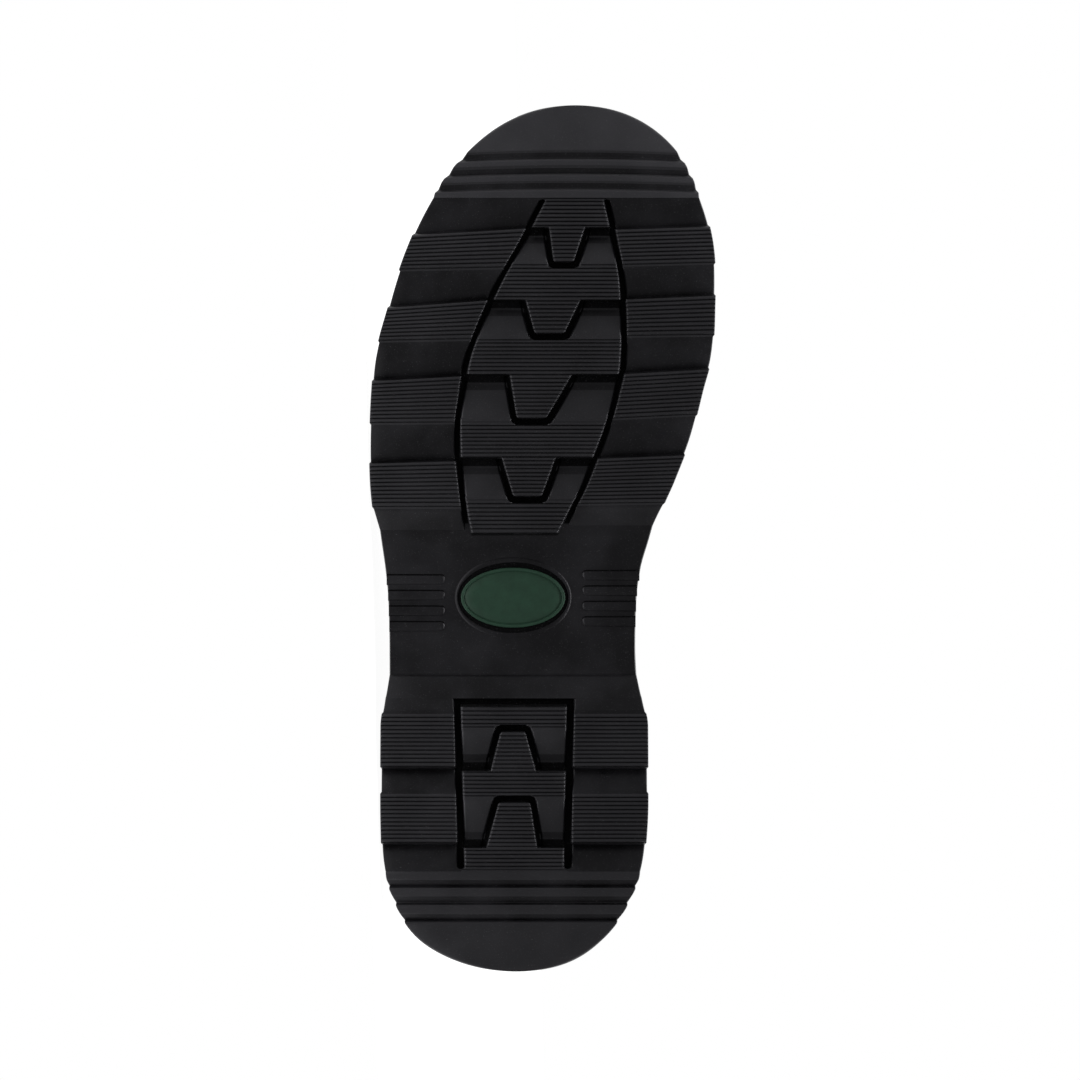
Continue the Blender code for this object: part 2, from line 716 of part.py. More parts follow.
def welt():
    """A flat strip round the upper's foot, on the rim of the outsole."""
    inner, outer = UPPER_INSET - WELT_GAP, WELT_INSET
    shares = [(x - outer) / (LENGTH - 2 * outer) for x in stations(outer)]
    path = [(share, LATERAL) for share in shares] + [(share, MEDIAL) for share in shares[-2:0:-1]]
    rings = []
    for share, side in path:
        ring = []
        for inset in (inner, outer):
            x = inset + share * (LENGTH - 2 * inset)
            y, low = edge_y(side, x, inset), top_z(x) + SEAT_GAP
            ring.append([(x, y, low), (x, y, low + WELT_THICKNESS)])
        rings.append(ring[0] + ring[1][::-1])
    loft("welt", rings, "welt_leather", loop=True)


def insole():
    inset = UPPER_INSET + WALL + INSOLE_GAP
    rings = []
    for x in stations(inset):
        low = top_z(x) + SEAT_GAP
        high = low + INSOLE_THICKNESS
        lateral, medial = edge_y(LATERAL, x, inset), edge_y(MEDIAL, x, inset)
        rings.append([(x, lateral, low), (x, medial, low), (x, medial, high), (x, lateral, high)])
    loft("insole", rings, "insole_board")


# Upper and tongue


def sheet(name, grid_runs, finish):
    """An open surface from runs of point rows, each row from the lateral to the medial side."""
    bm = bmesh.new()
    for rows in grid_runs:
        add_strips(bm, rows)
    bmesh.ops.remove_doubles(bm, verts=bm.verts, dist=2 * WELD)
    return new_object(name, to_mesh(name, bm, smooth_angle=60), finish)


def sole_top():
    """A block under the seat of the upper, to trim its lower edge level."""
    left = edge_y(LATERAL, LENGTH / 2) - SIDE_MARGIN * 2
    right = edge_y(MEDIAL, LENGTH / 2) + SIDE_MARGIN * 2
    rings = []
    for x in [-SIDE_MARGIN, *stations(0.0), LENGTH + SIDE_MARGIN]:
        low, high = -SIDE_MARGIN, top_z(x) + SEAT_GAP
        rings.append([(x, left, low), (x, right, low), (x, right, high), (x, left, high)])
    return loft("sole_top", rings)


def upper():
    rows = [i / 2 for i in range(2 * LAST_ROW + 1)]
    shares = [(k / UPPER_COLUMNS) ** COLUMN_CROWDING for k in range(UPPER_COLUMNS + 1)]
    runs = []
    for side in (LATERAL, MEDIAL):
        run = []
        for row in rows:
            end = angle_at(row, throat_half(row)) if row > THROAT_ROW else math.pi / 2
            points = [last_point(row, end * share, side) for share in shares]
            run.append(points if side == LATERAL else points[::-1])
        runs.append(run)
    shell = sheet("upper", runs, "leather")
    solidify(shell, WALL)
    boolean(shell, sole_top(), "DIFFERENCE")
    boolean(shell, eyelet_holes(), "DIFFERENCE")


def tongue():
    end_row = LAST_ROW + TONGUE_RISE / (SECTIONS[-1].top_z - SECTIONS[-2].top_z)
    rows = []
    for i in range(TONGUE_ROWS + 1):
        share = i / TONGUE_ROWS
        row = TONGUE_START_ROW + (end_row - TONGUE_START_ROW) * share
        half = TONGUE_HALF_LOW + (TONGUE_HALF_HIGH - TONGUE_HALF_LOW) * share
        half *= 1 - TONGUE_TAPER * max(0.0, (share - TONGUE_TAPER_START) / (1 - TONGUE_TAPER_START)) ** 2
        widths = [half * (2 * k / TONGUE_COLUMNS - 1) for k in range(TONGUE_COLUMNS + 1)]
        rows.append([over_last(row, width, -WALL - TONGUE_GAP) for width in widths])
    solidify(sheet("tongue", [rows], "tongue_leather"), TONGUE_THICKNESS)


# Eyelets and lace


def eyelet_places():
    """Row of each eyelet pair, even along the edge of the throat."""
    span = EYELET_LAST_ROW - EYELET_FIRST_ROW
    rows = [EYELET_FIRST_ROW + span * i / EYELET_SAMPLES for i in range(EYELET_SAMPLES + 1)]
    points = [over_last(row, throat_half(row) + EYELET_SETBACK, 0.0) for row in rows]
    lengths = [0.0]
    for a, b in zip(points, points[1:]):
        lengths.append(lengths[-1] + (b - a).length)
    places = []
    for i in range(EYELET_PAIRS):
        target = lengths[-1] * i / (EYELET_PAIRS - 1)
        k = min(bisect_right(lengths, target), EYELET_SAMPLES) - 1
        share = (target - lengths[k]) / (lengths[k + 1] - lengths[k])
        places.append(rows[k] + share * (rows[k + 1] - rows[k]))
    return places


def eyelet_matrix(row, side):
    """Frame of an eyelet: its axis stands square to the upper's face."""
    width = side * (throat_half(row) + EYELET_SETBACK)
    point, above = over_last(row, width, 0.0), over_last(row, width, 1.0)
    turn = (above - point).to_track_quat("Z", "Y").to_matrix().to_4x4()
    return Matrix.Translation(point * MM) @ turn


def eyelet_holes():
    bm = bmesh.new()
    for row in eyelet_places():
        for side in (LATERAL, MEDIAL):
            bmesh.ops.create_cone(
                bm,
                cap_ends=True,
                segments=EYELET_STEPS,
                radius1=(EYELET_BARREL_R + SEAT_GAP) * MM,
                radius2=(EYELET_BARREL_R + SEAT_GAP) * MM,
                depth=4 * WALL * MM,
                matrix=eyelet_matrix(row, side),
            )
    mesh = bpy.data.meshes.new("eyelet_holes")
    bm.to_mesh(mesh)
    bm.free()
    return new_object("eyelet_holes", mesh)


def eyelet_profile():
    """Half section of an eyelet: a flange on the face and a barrel through the wall."""
    low, high = EYELET_LIFT, EYELET_LIFT + EYELET_FLANGE_T
    outline = [
        (EYELET_BORE_R, high),
        (EYELET_FLANGE_R - EYELET_FLANGE_T / 2, high),
        (EYELET_FLANGE_R, low),
        (EYELET_BARREL_R, low),
        (EYELET_BARREL_R, -WALL),
        (EYELET_BORE_R, -WALL),
    ]
    bm = bmesh.new()
    points = [bm.verts.new((r * MM, 0.0, z * MM)) for r, z in outline]
    for a, b in zip(points, points[1:] + points[:1]):
        bm.edges.new((a, b))
    return to_mesh("eyelet", bm)


def eyelets():
    profile = eyelet_profile()
    for i, row in enumerate(eyelet_places(), start=1):
        for side, word in ((LATERAL, "lateral"), (MEDIAL, "medial")):
            eyelet = new_object(f"eyelet_{word}_{i}", profile, "eyelet_metal")
            eyelet.matrix_local = eyelet_matrix(row, side)
            turn = eyelet.modifiers.new("turn", "SCREW")
            turn.steps = turn.render_steps = EYELET_STEPS
            turn.use_merge_vertices = True
            turn.merge_threshold = 10 * WELD
            turn.use_smooth_shade = False


def tube(name, points, radius, finish=None):
    """A cord along a path, as a mesh with welded caps."""
    curve = bpy.data.curves.new(name, "CURVE")
    curve.dimensions = "3D"
    curve.bevel_depth = radius * MM
    curve.bevel_resolution = 2
    curve.use_fill_caps = True
    spline = curve.splines.new("POLY")
    spline.points.add(len(points) - 1)
    for target, point in zip(spline.points, points):
        target.co = (*(point * MM), 1.0)
    guide = bpy.data.objects.new(name + "_path", curve)
    CUTTERS.objects.link(guide)
    graph = bpy.context.evaluated_depsgraph_get()
    mesh = bpy.data.meshes.new_from_object(guide.evaluated_get(graph))
    bpy.data.objects.remove(guide)
    bm = bmesh.new()
    bm.from_mesh(mesh)
    bmesh.ops.remove_doubles(bm, verts=bm.verts, dist=WELD)
    bmesh.ops.recalc_face_normals(bm, faces=bm.faces)
    return new_object(name, to_mesh(name, bm, smooth_angle=50), finish)


def lace_path(low_row, high_row, side, lift_mid=LACE_LIFT_LOWER):
    """A strand over the throat from one eyelet of a row to the far eyelet of another."""
    shift = LACE_END_SHIFT if high_row > low_row else 0.0
    points = []
    for i in range(LACE_POINTS):
        share = i / (LACE_POINTS - 1)
        row = low_row + (high_row - low_row) * share
        reach = throat_half(row) + EYELET_SETBACK - shift
        width = side * reach * (1 - 2 * share)
        lift = lift_mid + (LACE_LIFT_END - lift_mid) * min(1.0, abs(width) / THROAT_HALF) ** 2
        points.append(over_last(row, width, lift))
    return points


def lace():
    places = eyelet_places()
    tube("lace_bar", lace_path(places[0], places[0], LATERAL), LACE_R, "lace_cord")
    for i, (low, high) in enumerate(zip(places, places[1:]), start=1):
        step = (high - low) * LACE_END_SHARE
        lower = lace_path(low + step, high - step, LATERAL)
        upper = lace_path(low + step, high - step, MEDIAL, LACE_LIFT_UPPER)
        cross = tube(f"lace_cross_{i}", lower, LACE_R, "lace_cord")
        other = tube(f"lace_cross_{i}_other", upper, LACE_R)
        boolean(cross, other, "UNION")


# Laying the boot down


def solid_points():
    """All the points of the finished parts, in the standing frame."""
    graph = bpy.context.evaluated_depsgraph_get()
    points = []
    for obj in PARTS.objects:
        if obj.type == "MESH":
            done = obj.evaluated_get(graph)
            points += [done.matrix_world @ vertex.co for vertex in done.data.vertices]
    return points


def resting_normal(points):
    """Outward normal of the hull's facet on the lateral side, under the balance point."""
    bm = bmesh.new()
    verts = [bm.verts.new(point) for point in points]
    hull = bmesh.ops.convex_hull(bm, input=verts, use_existing_faces=False)
    faces = [part for part in hull["geom"] if isinstance(part, bmesh.types.BMFace)]
    centre = Vector((BALANCE_X, 0.0, BALANCE_Z)) * MM
    best, best_reach = None, 0.0
    for face in faces:
        normal = face.normal
        if normal.dot(face.calc_center_median() - centre) < 0:
            normal = -normal
        if normal.y < -LATERAL_LEAN:
            reach = normal.dot(face.verts[0].co - centre) / -normal.y
            if best is None or reach < best_reach:
                best, best_reach = normal.copy(), reach
    bm.free()
    return best


def lie_down():
    """Turns the boot so that the resting facet is on the floor and the toe points to -X."""
    bpy.context.view_layer.update()
    points = solid_points()
    up = -resting_normal(points)
    toe = Vector((1.0, 0.0, 0.0))
    along = -(toe - up * toe.dot(up)).normalized()
    turn = Matrix((along, up.cross(along), up))
    laid = [turn @ point for point in points]
    low = Vector(min(point[k] for point in laid) for k in range(3))
    high = Vector(max(point[k] for point in laid) for k in range(3))
    foot = Vector(((low.x + high.x) / 2, (low.y + high.y) / 2, low.z))
    BOOT.matrix_world = Matrix.Translation(-foot) @ turn.to_4x4()


badge(outsole())
welt()
insole()
upper()
tongue()
eyelets()
lace()
lie_down()
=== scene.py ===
"""Looks of the work boot: moulded tread, leather upper and lacing, lit and seen as in the photograph.

Sizes are millimetres in the boot's standing frame: x runs from the back of the heel to the toe,
y from the outer (lateral) to the inner (medial) side, and z up from the tread.
Two mounts on the tread place that frame in the world.
"""

import json
import math
from bisect import bisect_right
from collections import namedtuple

import bmesh
import bpy
from mathutils import Matrix, Quaternion, Vector

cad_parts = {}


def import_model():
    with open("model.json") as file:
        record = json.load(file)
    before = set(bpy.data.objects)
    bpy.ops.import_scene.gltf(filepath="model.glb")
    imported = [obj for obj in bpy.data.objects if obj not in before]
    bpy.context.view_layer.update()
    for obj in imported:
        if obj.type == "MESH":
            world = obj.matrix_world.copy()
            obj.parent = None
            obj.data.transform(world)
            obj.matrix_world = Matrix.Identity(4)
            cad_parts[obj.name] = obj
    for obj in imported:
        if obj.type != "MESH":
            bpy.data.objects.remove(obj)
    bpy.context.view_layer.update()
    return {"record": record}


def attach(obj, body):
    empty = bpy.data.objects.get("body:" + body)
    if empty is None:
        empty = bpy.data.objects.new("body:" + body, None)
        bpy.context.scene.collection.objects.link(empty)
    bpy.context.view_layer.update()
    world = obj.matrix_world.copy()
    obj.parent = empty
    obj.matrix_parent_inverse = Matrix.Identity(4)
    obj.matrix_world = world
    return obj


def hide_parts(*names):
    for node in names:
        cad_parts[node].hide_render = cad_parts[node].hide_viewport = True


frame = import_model()

MM = 0.001
TINY = 1e-6
LATERAL, MEDIAL = -1, 1
SIDES = ((LATERAL, "lateral"), (MEDIAL, "medial"))

# Finishes of the sole: as moulded; rubbed and paler on the ground faces, the same pale rubber also standing
# as painted light on slopes; worn at the toe; and near black as painted shade in grooves, trenches, moats and
# rib valleys
MOULDED, RUBBED_AND_LIT, WORN, PAINTED_SHADE = range(4)

# Driving sizes of the boot
LENGTH = 304.0
HEEL_ROUND = 45.0
TOE_ROUND = 85.0
END_POWER = 2.2
HEEL_MOUNT = Vector((81.0, -33.0, 0.0))
FOREFOOT_MOUNT = Vector((171.0, -36.0, 0.0))

# Sizes of the tread
BASE_INSET = 1.7
SLOPE_INSET = 0.5
SIDE_LUG_SHARE = 0.62
SLOPE_DEPTH = 4.0
WALL_DRAFT = 0.7
GROOVE = 1.85
GROOVE_TOE_X, GROOVE_HEEL_X = 270.8, 36.1
EDGE_ROUND = 0.9
RIM_ROUND, TIP_ROUND, TIP_ROUND_REACH = 0.55, 2.2, 18.0
SIDE_ROUND = 0.8
ROOF_REACH = 4.0
FLOOR_SINK = 0.8
RIB_PITCH, RIB_DEPTH = 1.4, 0.45
BLOCK_COLUMNS = 8
SLOPE_ROWS = 6
TIP_ROWS = 26
STATION_STEP, STATION_DEGREES, ROUND_DEGREES = 2.5, 3, 15
JOINT_LAP = 0.3
JOINT_SINK = 0.03
TOE_SLOPE_X = 271.6
HEEL_BLOCK_X = 35.2
BREAST_FRONT_X, BREAST_BACK_X = 104.0, 95.8
BREAST_LIP = 0.3
RIDGE_ROW, RIDGE_NOTCH, RIDGE_FADE, RIDGE_REST = 0.25, 0.45, 3.0, 1.0
TOOTH_GAP, TIP_GAP = 1.7, 2.0
TOOTH_DRAFT = 0.35
TOOTH_CORNER, MOAT_CORNER = 0.8, 1.3
MOAT_DEPTH = 4.6
TRENCH_RUN, TRENCH_LEDGE = 3.6, 3.4
# Reaches behind each band's root in the middle panels: painted shade, near black, up to the first, then the
# plain moulded rubber up to the second, then the pale rubbed rubber as painted light on the slope
TRENCH_SHADE_REACH, TRENCH_DIM_REACH = 3.0, 5.6

# Small curves of the tread: a rounded edge as pairs across and down, a corner as pairs back from its tip
# and inward, and one rib as pairs of its pitch and its depth
SOFT_TURN = ((0.0, 1.0), (0.12, 0.5), (0.5, 0.12), (1.0, 0.0))
CORNER_TURN = ((1.0, 0.0), (0.5, 0.134), (0.134, 0.5), (0.0, 1.0))
RIB_VALLEY = 0.84
RIB_STEPS = ((0.0, 1.0), (0.3, 0.15), (0.62, 0.0), (RIB_VALLEY, 1.0))

# Side wall of the sole in section: inset from its outline, and lift from the floor, the side line or the top
FLOOR, SIDE_LINE, TOP = range(3)
WallLine = namedtuple("WallLine", "inset level lift")
SOLE_WALL = [
    WallLine(0.3, FLOOR, 0.3),
    WallLine(0.0, FLOOR, 1.0),
    WallLine(0.0, SIDE_LINE, -0.7),
    WallLine(0.7, SIDE_LINE, -0.2),
    WallLine(0.7, SIDE_LINE, 0.2),
    WallLine(0.0, SIDE_LINE, 0.7),
    WallLine(0.0, TOP, -0.7),
    WallLine(0.25, TOP, -0.2),
    WallLine(0.7, TOP, 0.0),
]
SIDE_LINE_SHARE = 0.45
FLOOR_REACH = 0.1

# Sizes of the waist: raised bars at both edges, with their section from heel to toe and the finish of each
# strip, the steep toe side painted near black as shade, and an oval badge
WaistBars = namedtuple("WaistBars", "side first_x pitch end_y")
WAIST_BARS = [WaistBars(LATERAL, 137.8, 5.47, -25.7), WaistBars(MEDIAL, 139.3, 5.4, 25.2)]
BAR_COUNT, BAR_ROWS = 4, 6
BAR_HALF, BAR_HEIGHT, BAR_ROOT = 1.45, 0.6, 0.4
BAR_END_RUN = 0.75
BarLine = namedtuple("BarLine", "across up coat")
BAR_SECTION = [
    BarLine(-1.6, 0.0, MOULDED),
    BarLine(-1.35, 0.45, MOULDED),
    BarLine(-0.85, 0.82, MOULDED),
    BarLine(-0.35, 0.98, MOULDED),
    BarLine(0.4, 1.0, MOULDED),
    BarLine(0.7, 0.9, PAINTED_SHADE),
    BarLine(1.0, 0.42, PAINTED_SHADE),
    BarLine(1.12, 0.0, MOULDED),
]
BADGE_X, BADGE_Y = 131.1, -0.45
BADGE_LENGTH, BADGE_WIDTH = 36.6, 21.1
BADGE_FACE, BADGE_CROWN = 0.75, 0.15
BADGE_CROWN_SHARES = (0.3, 0.6, 0.8, 0.97)
BADGE_STEPS, SEAT_END_SHARE = 96, 0.6

# Rings of the badge and of its seat: inset from the badge's outline, and height above the floor of the waist
BadgeRing = namedtuple("BadgeRing", "inset height")
BADGE_EDGE = [
    BadgeRing(0.0, -0.4),
    BadgeRing(0.0, 0.75),
    BadgeRing(0.12, 1.0),
    BadgeRing(0.35, 1.1),
    BadgeRing(0.85, 1.1),
    BadgeRing(1.1, 0.9),
    BadgeRing(1.2, 0.5),
    BadgeRing(1.5, 0.55),
    BadgeRing(1.8, BADGE_FACE),
]
SEAT_LIP = [
    BadgeRing(-4.0, -0.4),
    BadgeRing(-3.6, 0.02),
    BadgeRing(-3.0, 0.25),
    BadgeRing(-2.4, 0.38),
    BadgeRing(-2.0, 0.36),
    BadgeRing(-1.8, 0.2),
    BadgeRing(-1.8, -0.4),
]
# The moat is a thin ring on the waist floor, painted near black as shade
SEAT_MOAT = [BadgeRing(-1.95, -0.4), BadgeRing(-1.95, 0.06), BadgeRing(0.2, 0.06), BadgeRing(0.2, -0.4)]

# Sizes of the upper and what lies inside it
UPPER_INSET = 8.5
INSET_FADE = 40.0
UPPER_TRIM = 2.5
WALL = 2.4
SKIN_SINK = 0.3
LEAN_END_X, LEAN_FADE = 180.0, 80.0
NORMAL_STEP = 0.02
CROSSING_STEPS = 30
VAMP_FIRST_ROW, VAMP_LAST_ROW, COLLAR_FIRST_ROW = 4.0, 17.0, 11.0
COLLAR_BAND = 21.0
COLLAR_BACK, COLLAR_FRONT = (18.5, 164.0), (139.5, 176.5)
COLLAR_CREASE, COLLAR_HOLLOW, CREASE_SHARE = 1.5, 0.7, 1 / 7
PUFF_PACE, PUFF_POWER = 1.15, 0.6
COLLAR_EDGE_SHARE, COLLAR_EDGE_DROP, COLLAR_EDGE_POWER = 0.88, 0.9, 3
SKIN_COLUMNS, COLUMN_CROWDING = 64, 2.2
VAMP_ROWS, QUARTER_ROWS, COLLAR_ROWS = 60, 90, 24
QUARTER_CROWDING = 1.8
THROAT_ROW, THROAT_ROUND_ROWS, THROAT_HALF = 9.4, 1.2, 12.0
STAY_SHARE, STAY_EDGE_SHARE, STAY_LIFT = 0.0088, 0.0094, 0.8
SEAT_GAP = 0.3
INSOLE_INSET, INSOLE_THICKNESS = 12.0, 4.0
INSOLE_ROUND, INSOLE_TURN = 1.2, 0.3
TONGUE_START_ROW, TONGUE_RISE = 8.2, 14.0
TONGUE_HALF_LOW, TONGUE_HALF_HIGH = 19.0, 27.0
TONGUE_CORNER, TONGUE_CORNER_ROWS = 13.0, 14
TONGUE_GAP, TONGUE_THICKNESS = 2.6, 3.2
TONGUE_EDGE_POWER, TONGUE_EDGE_SHARE = 6, 0.12
TONGUE_ROWS, TONGUE_COLUMNS = 50, 28

# Step at the vamp seam: rows behind the seam, and depth below the quarters
SeamStep = namedtuple("SeamStep", "row sink")
VAMP_STEPS = [SeamStep(0.0, 1.1), SeamStep(0.004, 0.25), SeamStep(0.05, 0.0)]

# Welt in section: inset from the sole's outline, and lift off its seat
WeltLine = namedtuple("WeltLine", "inset lift")
WELT_INNER, WELT_OUTER, WELT_TOP = 7.6, 3.0, 3.4
WELT_SECTION = [
    WeltLine(WELT_INNER, 0.0),
    WeltLine(3.3, 0.0),
    WeltLine(WELT_OUTER, 0.4),
    WeltLine(WELT_OUTER, 2.5),
    WeltLine(3.3, 3.1),
    WeltLine(3.9, WELT_TOP),
    WeltLine(WELT_INNER, WELT_TOP),
]
WELT_STITCH = WeltLine(5.1, 3.5)

# Sizes of the eyelets, with the section through a ring
EYELET_PAIRS = 6
EYELET_SETBACK = 9.0
EYELET_FIRST_ROW, EYELET_LAST_ROW = 10.2, 19.5
EYELET_GUIDES, EYELET_STEPS = 60, 32
EyeletLine = namedtuple("EyeletLine", "radius lift")
EYELET_SECTION = [
    EyeletLine(2.4, -WALL),
    EyeletLine(2.4, 0.7),
    EyeletLine(2.65, 1.15),
    EyeletLine(3.2, 1.4),
    EyeletLine(3.9, 1.3),
    EyeletLine(4.6, 0.75),
    EyeletLine(5.0, 0.25),
    EyeletLine(4.9, -0.2),
    EyeletLine(3.1, -0.3),
    EyeletLine(3.1, -WALL),
]

# Sizes of the lace, and the guides on its way: along is the share of the way to the next eyelet, inward the
# distance from the anchor towards the far side, and rise the share by which one half passes over the other
LACE_HALF_WIDTH, LACE_HALF_HEIGHT, LACE_RISE = 2.1, 1.2, 2.52
LACE_SAMPLES, LACE_SIDES = 9, 12
LACE_POWER, LACE_STEEP = 0.8, 0.2
NEAR_EYELET, NEAR_EDGE, MIDDLE, FAR_EDGE, FAR_EYELET = range(5)
LaceGuide = namedtuple("LaceGuide", "along anchor inward lift rise", defaults=(0.0,))
LACE_BAR = [
    LaceGuide(0.0, MIDDLE, 0.0, 2.1),
    LaceGuide(0.0, NEAR_EYELET, 10.157, 2.5),
    LaceGuide(0.0, NEAR_EYELET, 2.6, 2.8),
    LaceGuide(0.0, NEAR_EYELET, 0.5, 2.0),
    LaceGuide(0.0, NEAR_EYELET, 0.0, -0.4),
]
LACE_FIRST_START = [LaceGuide(0.05, NEAR_EYELET, 1.5, -3.75), LaceGuide(0.25, NEAR_EDGE, 0.0, -3.75)]
LACE_LATER_START = [
    LaceGuide(0.0, NEAR_EYELET, 0.0, 0.4),
    LaceGuide(0.03, NEAR_EYELET, 0.5, 2.3),
    LaceGuide(0.12, NEAR_EYELET, 3.4, 2.8),
    LaceGuide(0.26, NEAR_EDGE, -1.0, 1.6),
]
LACE_CROSSING = [
    LaceGuide(0.36, NEAR_EDGE, 5.4, -3.67, 0.8),
    LaceGuide(0.5, MIDDLE, -0.02, -3.65, 1.0),
    LaceGuide(0.66, FAR_EDGE, -4.8, -3.71, 0.4),
    LaceGuide(0.8, FAR_EDGE, 1.5, -3.75),
    LaceGuide(0.93, FAR_EYELET, -2.0, -3.75),
    LaceGuide(1.0, FAR_EYELET, 0.0, -1.6),
]
LACE_END = [LaceGuide(0.0, NEAR_EYELET, 0.0, 0.9)]

# Sizes of the stitching, with the rings of one stitch and the lines that the stitches follow
Thread = namedtuple("Thread", "length pitch radius")
FINE_THREAD, WELT_THREAD = Thread(2.5, 3.3, 0.36), Thread(3.6, 5.0, 0.5)
StitchRing = namedtuple("StitchRing", "share size lift")
STITCH_RINGS = [
    StitchRing(0.0, 0.3, -0.6),
    StitchRing(0.12, 0.8, 0.0),
    StitchRing(0.5, 1.0, 0.35),
    StitchRing(0.88, 0.8, 0.0),
    StitchRing(1.0, 0.3, -0.6),
]
STITCH_SIDES, STITCH_GUIDES = 8, 48
VAMP_STITCH_BACKS, VAMP_STITCH_SHARES = (2.6, 5.4), (0.03, 0.997)
THROAT_STITCH_SETBACK, THROAT_STITCH_ROWS = 3.0, (10.0, 18.4)
COLLAR_STITCH_DROP, COLLAR_STITCH_SHARES = 2.4, (STAY_EDGE_SHARE, 0.97)
STAY_STITCH_DROP, STAY_STITCH_SHARE, STAY_STITCH_ROW = 4.0, 0.0054, 18.3

# Outline of the tread seen from below: half width and middle line at each station
Outline = namedtuple("Outline", "x half mid")
OUTLINE = [
    Outline(0, 45.2, 0.6),
    Outline(12, 45.4, -1.3),
    Outline(24, 45.0, -0.9),
    Outline(35, 45.9, -0.5),
    Outline(60, 47.0, 0.0),
    Outline(86, 46.9, 0.0),
    Outline(98, 45.2, -0.3),
    Outline(114, 44.8, -0.7),
    Outline(130, 45.2, -0.7),
    Outline(141, 46.4, -0.5),
    Outline(151, 48.5, 0.2),
    Outline(162, 50.8, 1.1),
    Outline(172, 53.4, 2.8),
    Outline(188, 56.5, 5.7),
    Outline(204, 58.2, 8.1),
    Outline(215, 59.1, 10.1),
    Outline(236, 57.8, 13.5),
    Outline(257, 57.6, 16.6),
    Outline(275, 57.2, 18.6),
    Outline(290, 57.3, 20.6),
    Outline(304, 57.5, 21.4),
]

# Heights along the sole: ground face of the lugs, depth of the floor between them, and top face
Profile = namedtuple("Profile", "x tread floor_depth top")
PROFILE = [
    Profile(0, 6.0, 5.0, 30.0),
    Profile(17, 1.8, 5.0, 30.0),
    Profile(34, 0.0, 5.0, 29.8),
    Profile(92, 0.0, 5.0, 26.5),
    Profile(104, 0.0, 8.5, 25.0),
    Profile(125, 0.0, 9.5, 22.0),
    Profile(146, 0.0, 8.0, 19.0),
    Profile(155, 0.0, 5.6, 18.0),
    Profile(165, 0.0, 5.0, 17.0),
    Profile(200, 0.0, 5.0, 15.0),
    Profile(218, 0.0, 5.0, 15.2),
    Profile(245, 1.8, 5.0, 17.2),
    Profile(270, 5.6, 5.0, 21.0),
    Profile(290, 10.2, 5.0, 25.5),
    Profile(304, 14.5, 5.0, 29.0),
]

# Side lugs of the forefoot: front and back of each ground band, at the outline and at the groove
SideLug = namedtuple("SideLug", "front_outer front_inner back_outer back_inner")
LATERAL_LUGS = [
    SideLug(258.2, 260.4, 246.1, 246.8),
    SideLug(232.7, 235.2, 221.1, 221.7),
    SideLug(207.0, 208.6, 192.3, 192.5),
    SideLug(178.1, 178.9, 162.9, 162.9),
]
MEDIAL_LUGS = [
    SideLug(261.1, 260.1, 248.5, 247.7),
    SideLug(236.9, 235.6, 223.2, 222.8),
    SideLug(211.1, 209.5, 195.3, 193.9),
    SideLug(181.0, 179.8, 164.4, 164.0),
]
LATERAL_SLOPE_END, MEDIAL_SLOPE_END = 154.8, 156.4

# Grooves that bound the middle panel of the forefoot
GrooveLine = namedtuple("GrooveLine", "x lateral medial")
GROOVES = [
    GrooveLine(153, -15.8, 15.8),
    GrooveLine(161, -17.4, 19.8),
    GrooveLine(170, -18.6, 24.4),
    GrooveLine(181, -19.7, 28.8),
    GrooveLine(191, -19.9, 32.6),
    GrooveLine(202, -18.6, 35.8),
    GrooveLine(213, -16.8, 38.0),
    GrooveLine(225, -12.8, 38.5),
    GrooveLine(241, -5.6, 37.8),
    GrooveLine(258, 3.7, 34.9),
    GrooveLine(272, 10.7, 32.0),
]

# Lugs of the middle panels: a ground band from start to root, then a tooth that narrows to its tip.
# A lug with its tip at its root has no tooth.
Tee = namedtuple("Tee", "start root tip root_lateral root_medial tip_lateral tip_medial")
FOREFOOT_TEES = [
    Tee(271.2, 261.0, 248.7, 12.1, 24.9, 13.7, 20.8),
    Tee(247.7, 235.6, 223.6, 3.8, 23.3, 7.1, 17.5),
    Tee(221.5, 209.5, 193.9, -1.7, 20.4, 0.8, 11.2),
    Tee(192.6, 180.2, 166.5, -4.5, 14.6, -0.4, 9.6),
    Tee(165.3, 153.6, 153.6, -1.0, 5.0, -1.0, 5.0),
]
HEEL_TEES = [
    Tee(35.8, 43.4, 59.5, -9.9, 8.1, -5.5, 5.6),
    Tee(61.7, 70.4, 84.3, -8.4, 7.7, -4.8, 3.8),
    Tee(85.7, 93.1, 93.1, -4.8, 3.8, -4.8, 3.8),
]
Band = namedtuple("Band", "front back")
HEEL_SIDE_BANDS = [Band(90.4, 71.8), Band(62.4, 45.2)]

# Straight grooves beside the heel's middle panel
HeelGroove = namedtuple("HeelGroove", "back_y front_y half")
HEEL_GROOVES = {LATERAL: HeelGroove(-18.6, -20.0, 1.15), MEDIAL: HeelGroove(18.6, 19.7, 1.25)}

# Soft ridges across both ends: each falls over a run towards its place, then rises steeply behind it.
# The coats are the finishes from a least depth on, darker where deeper as painted shade in the ridges'
# grooves, and the last is also the finish of the tip.
Ridges = namedtuple("Ridges", "places run rise power depth bow coats")
TOE_COATS = ((0.55, MOULDED), (0.2, RUBBED_AND_LIT), (0.0, WORN))
HEEL_COATS = ((0.5, MOULDED), (0.0, RUBBED_AND_LIT))
TOE_RIDGES = Ridges((285.7, 280.3, 275.0), 2.8, 1.3, 1.0, 1.1, 0.9, TOE_COATS)
HEEL_RIDGES = Ridges((30.2, 24.3, 18.2), 4.8, 1.5, 1.8, 1.55, 0.0, HEEL_COATS)
Walls = namedtuple("Walls", "strip panel heel_strip heel_panel")

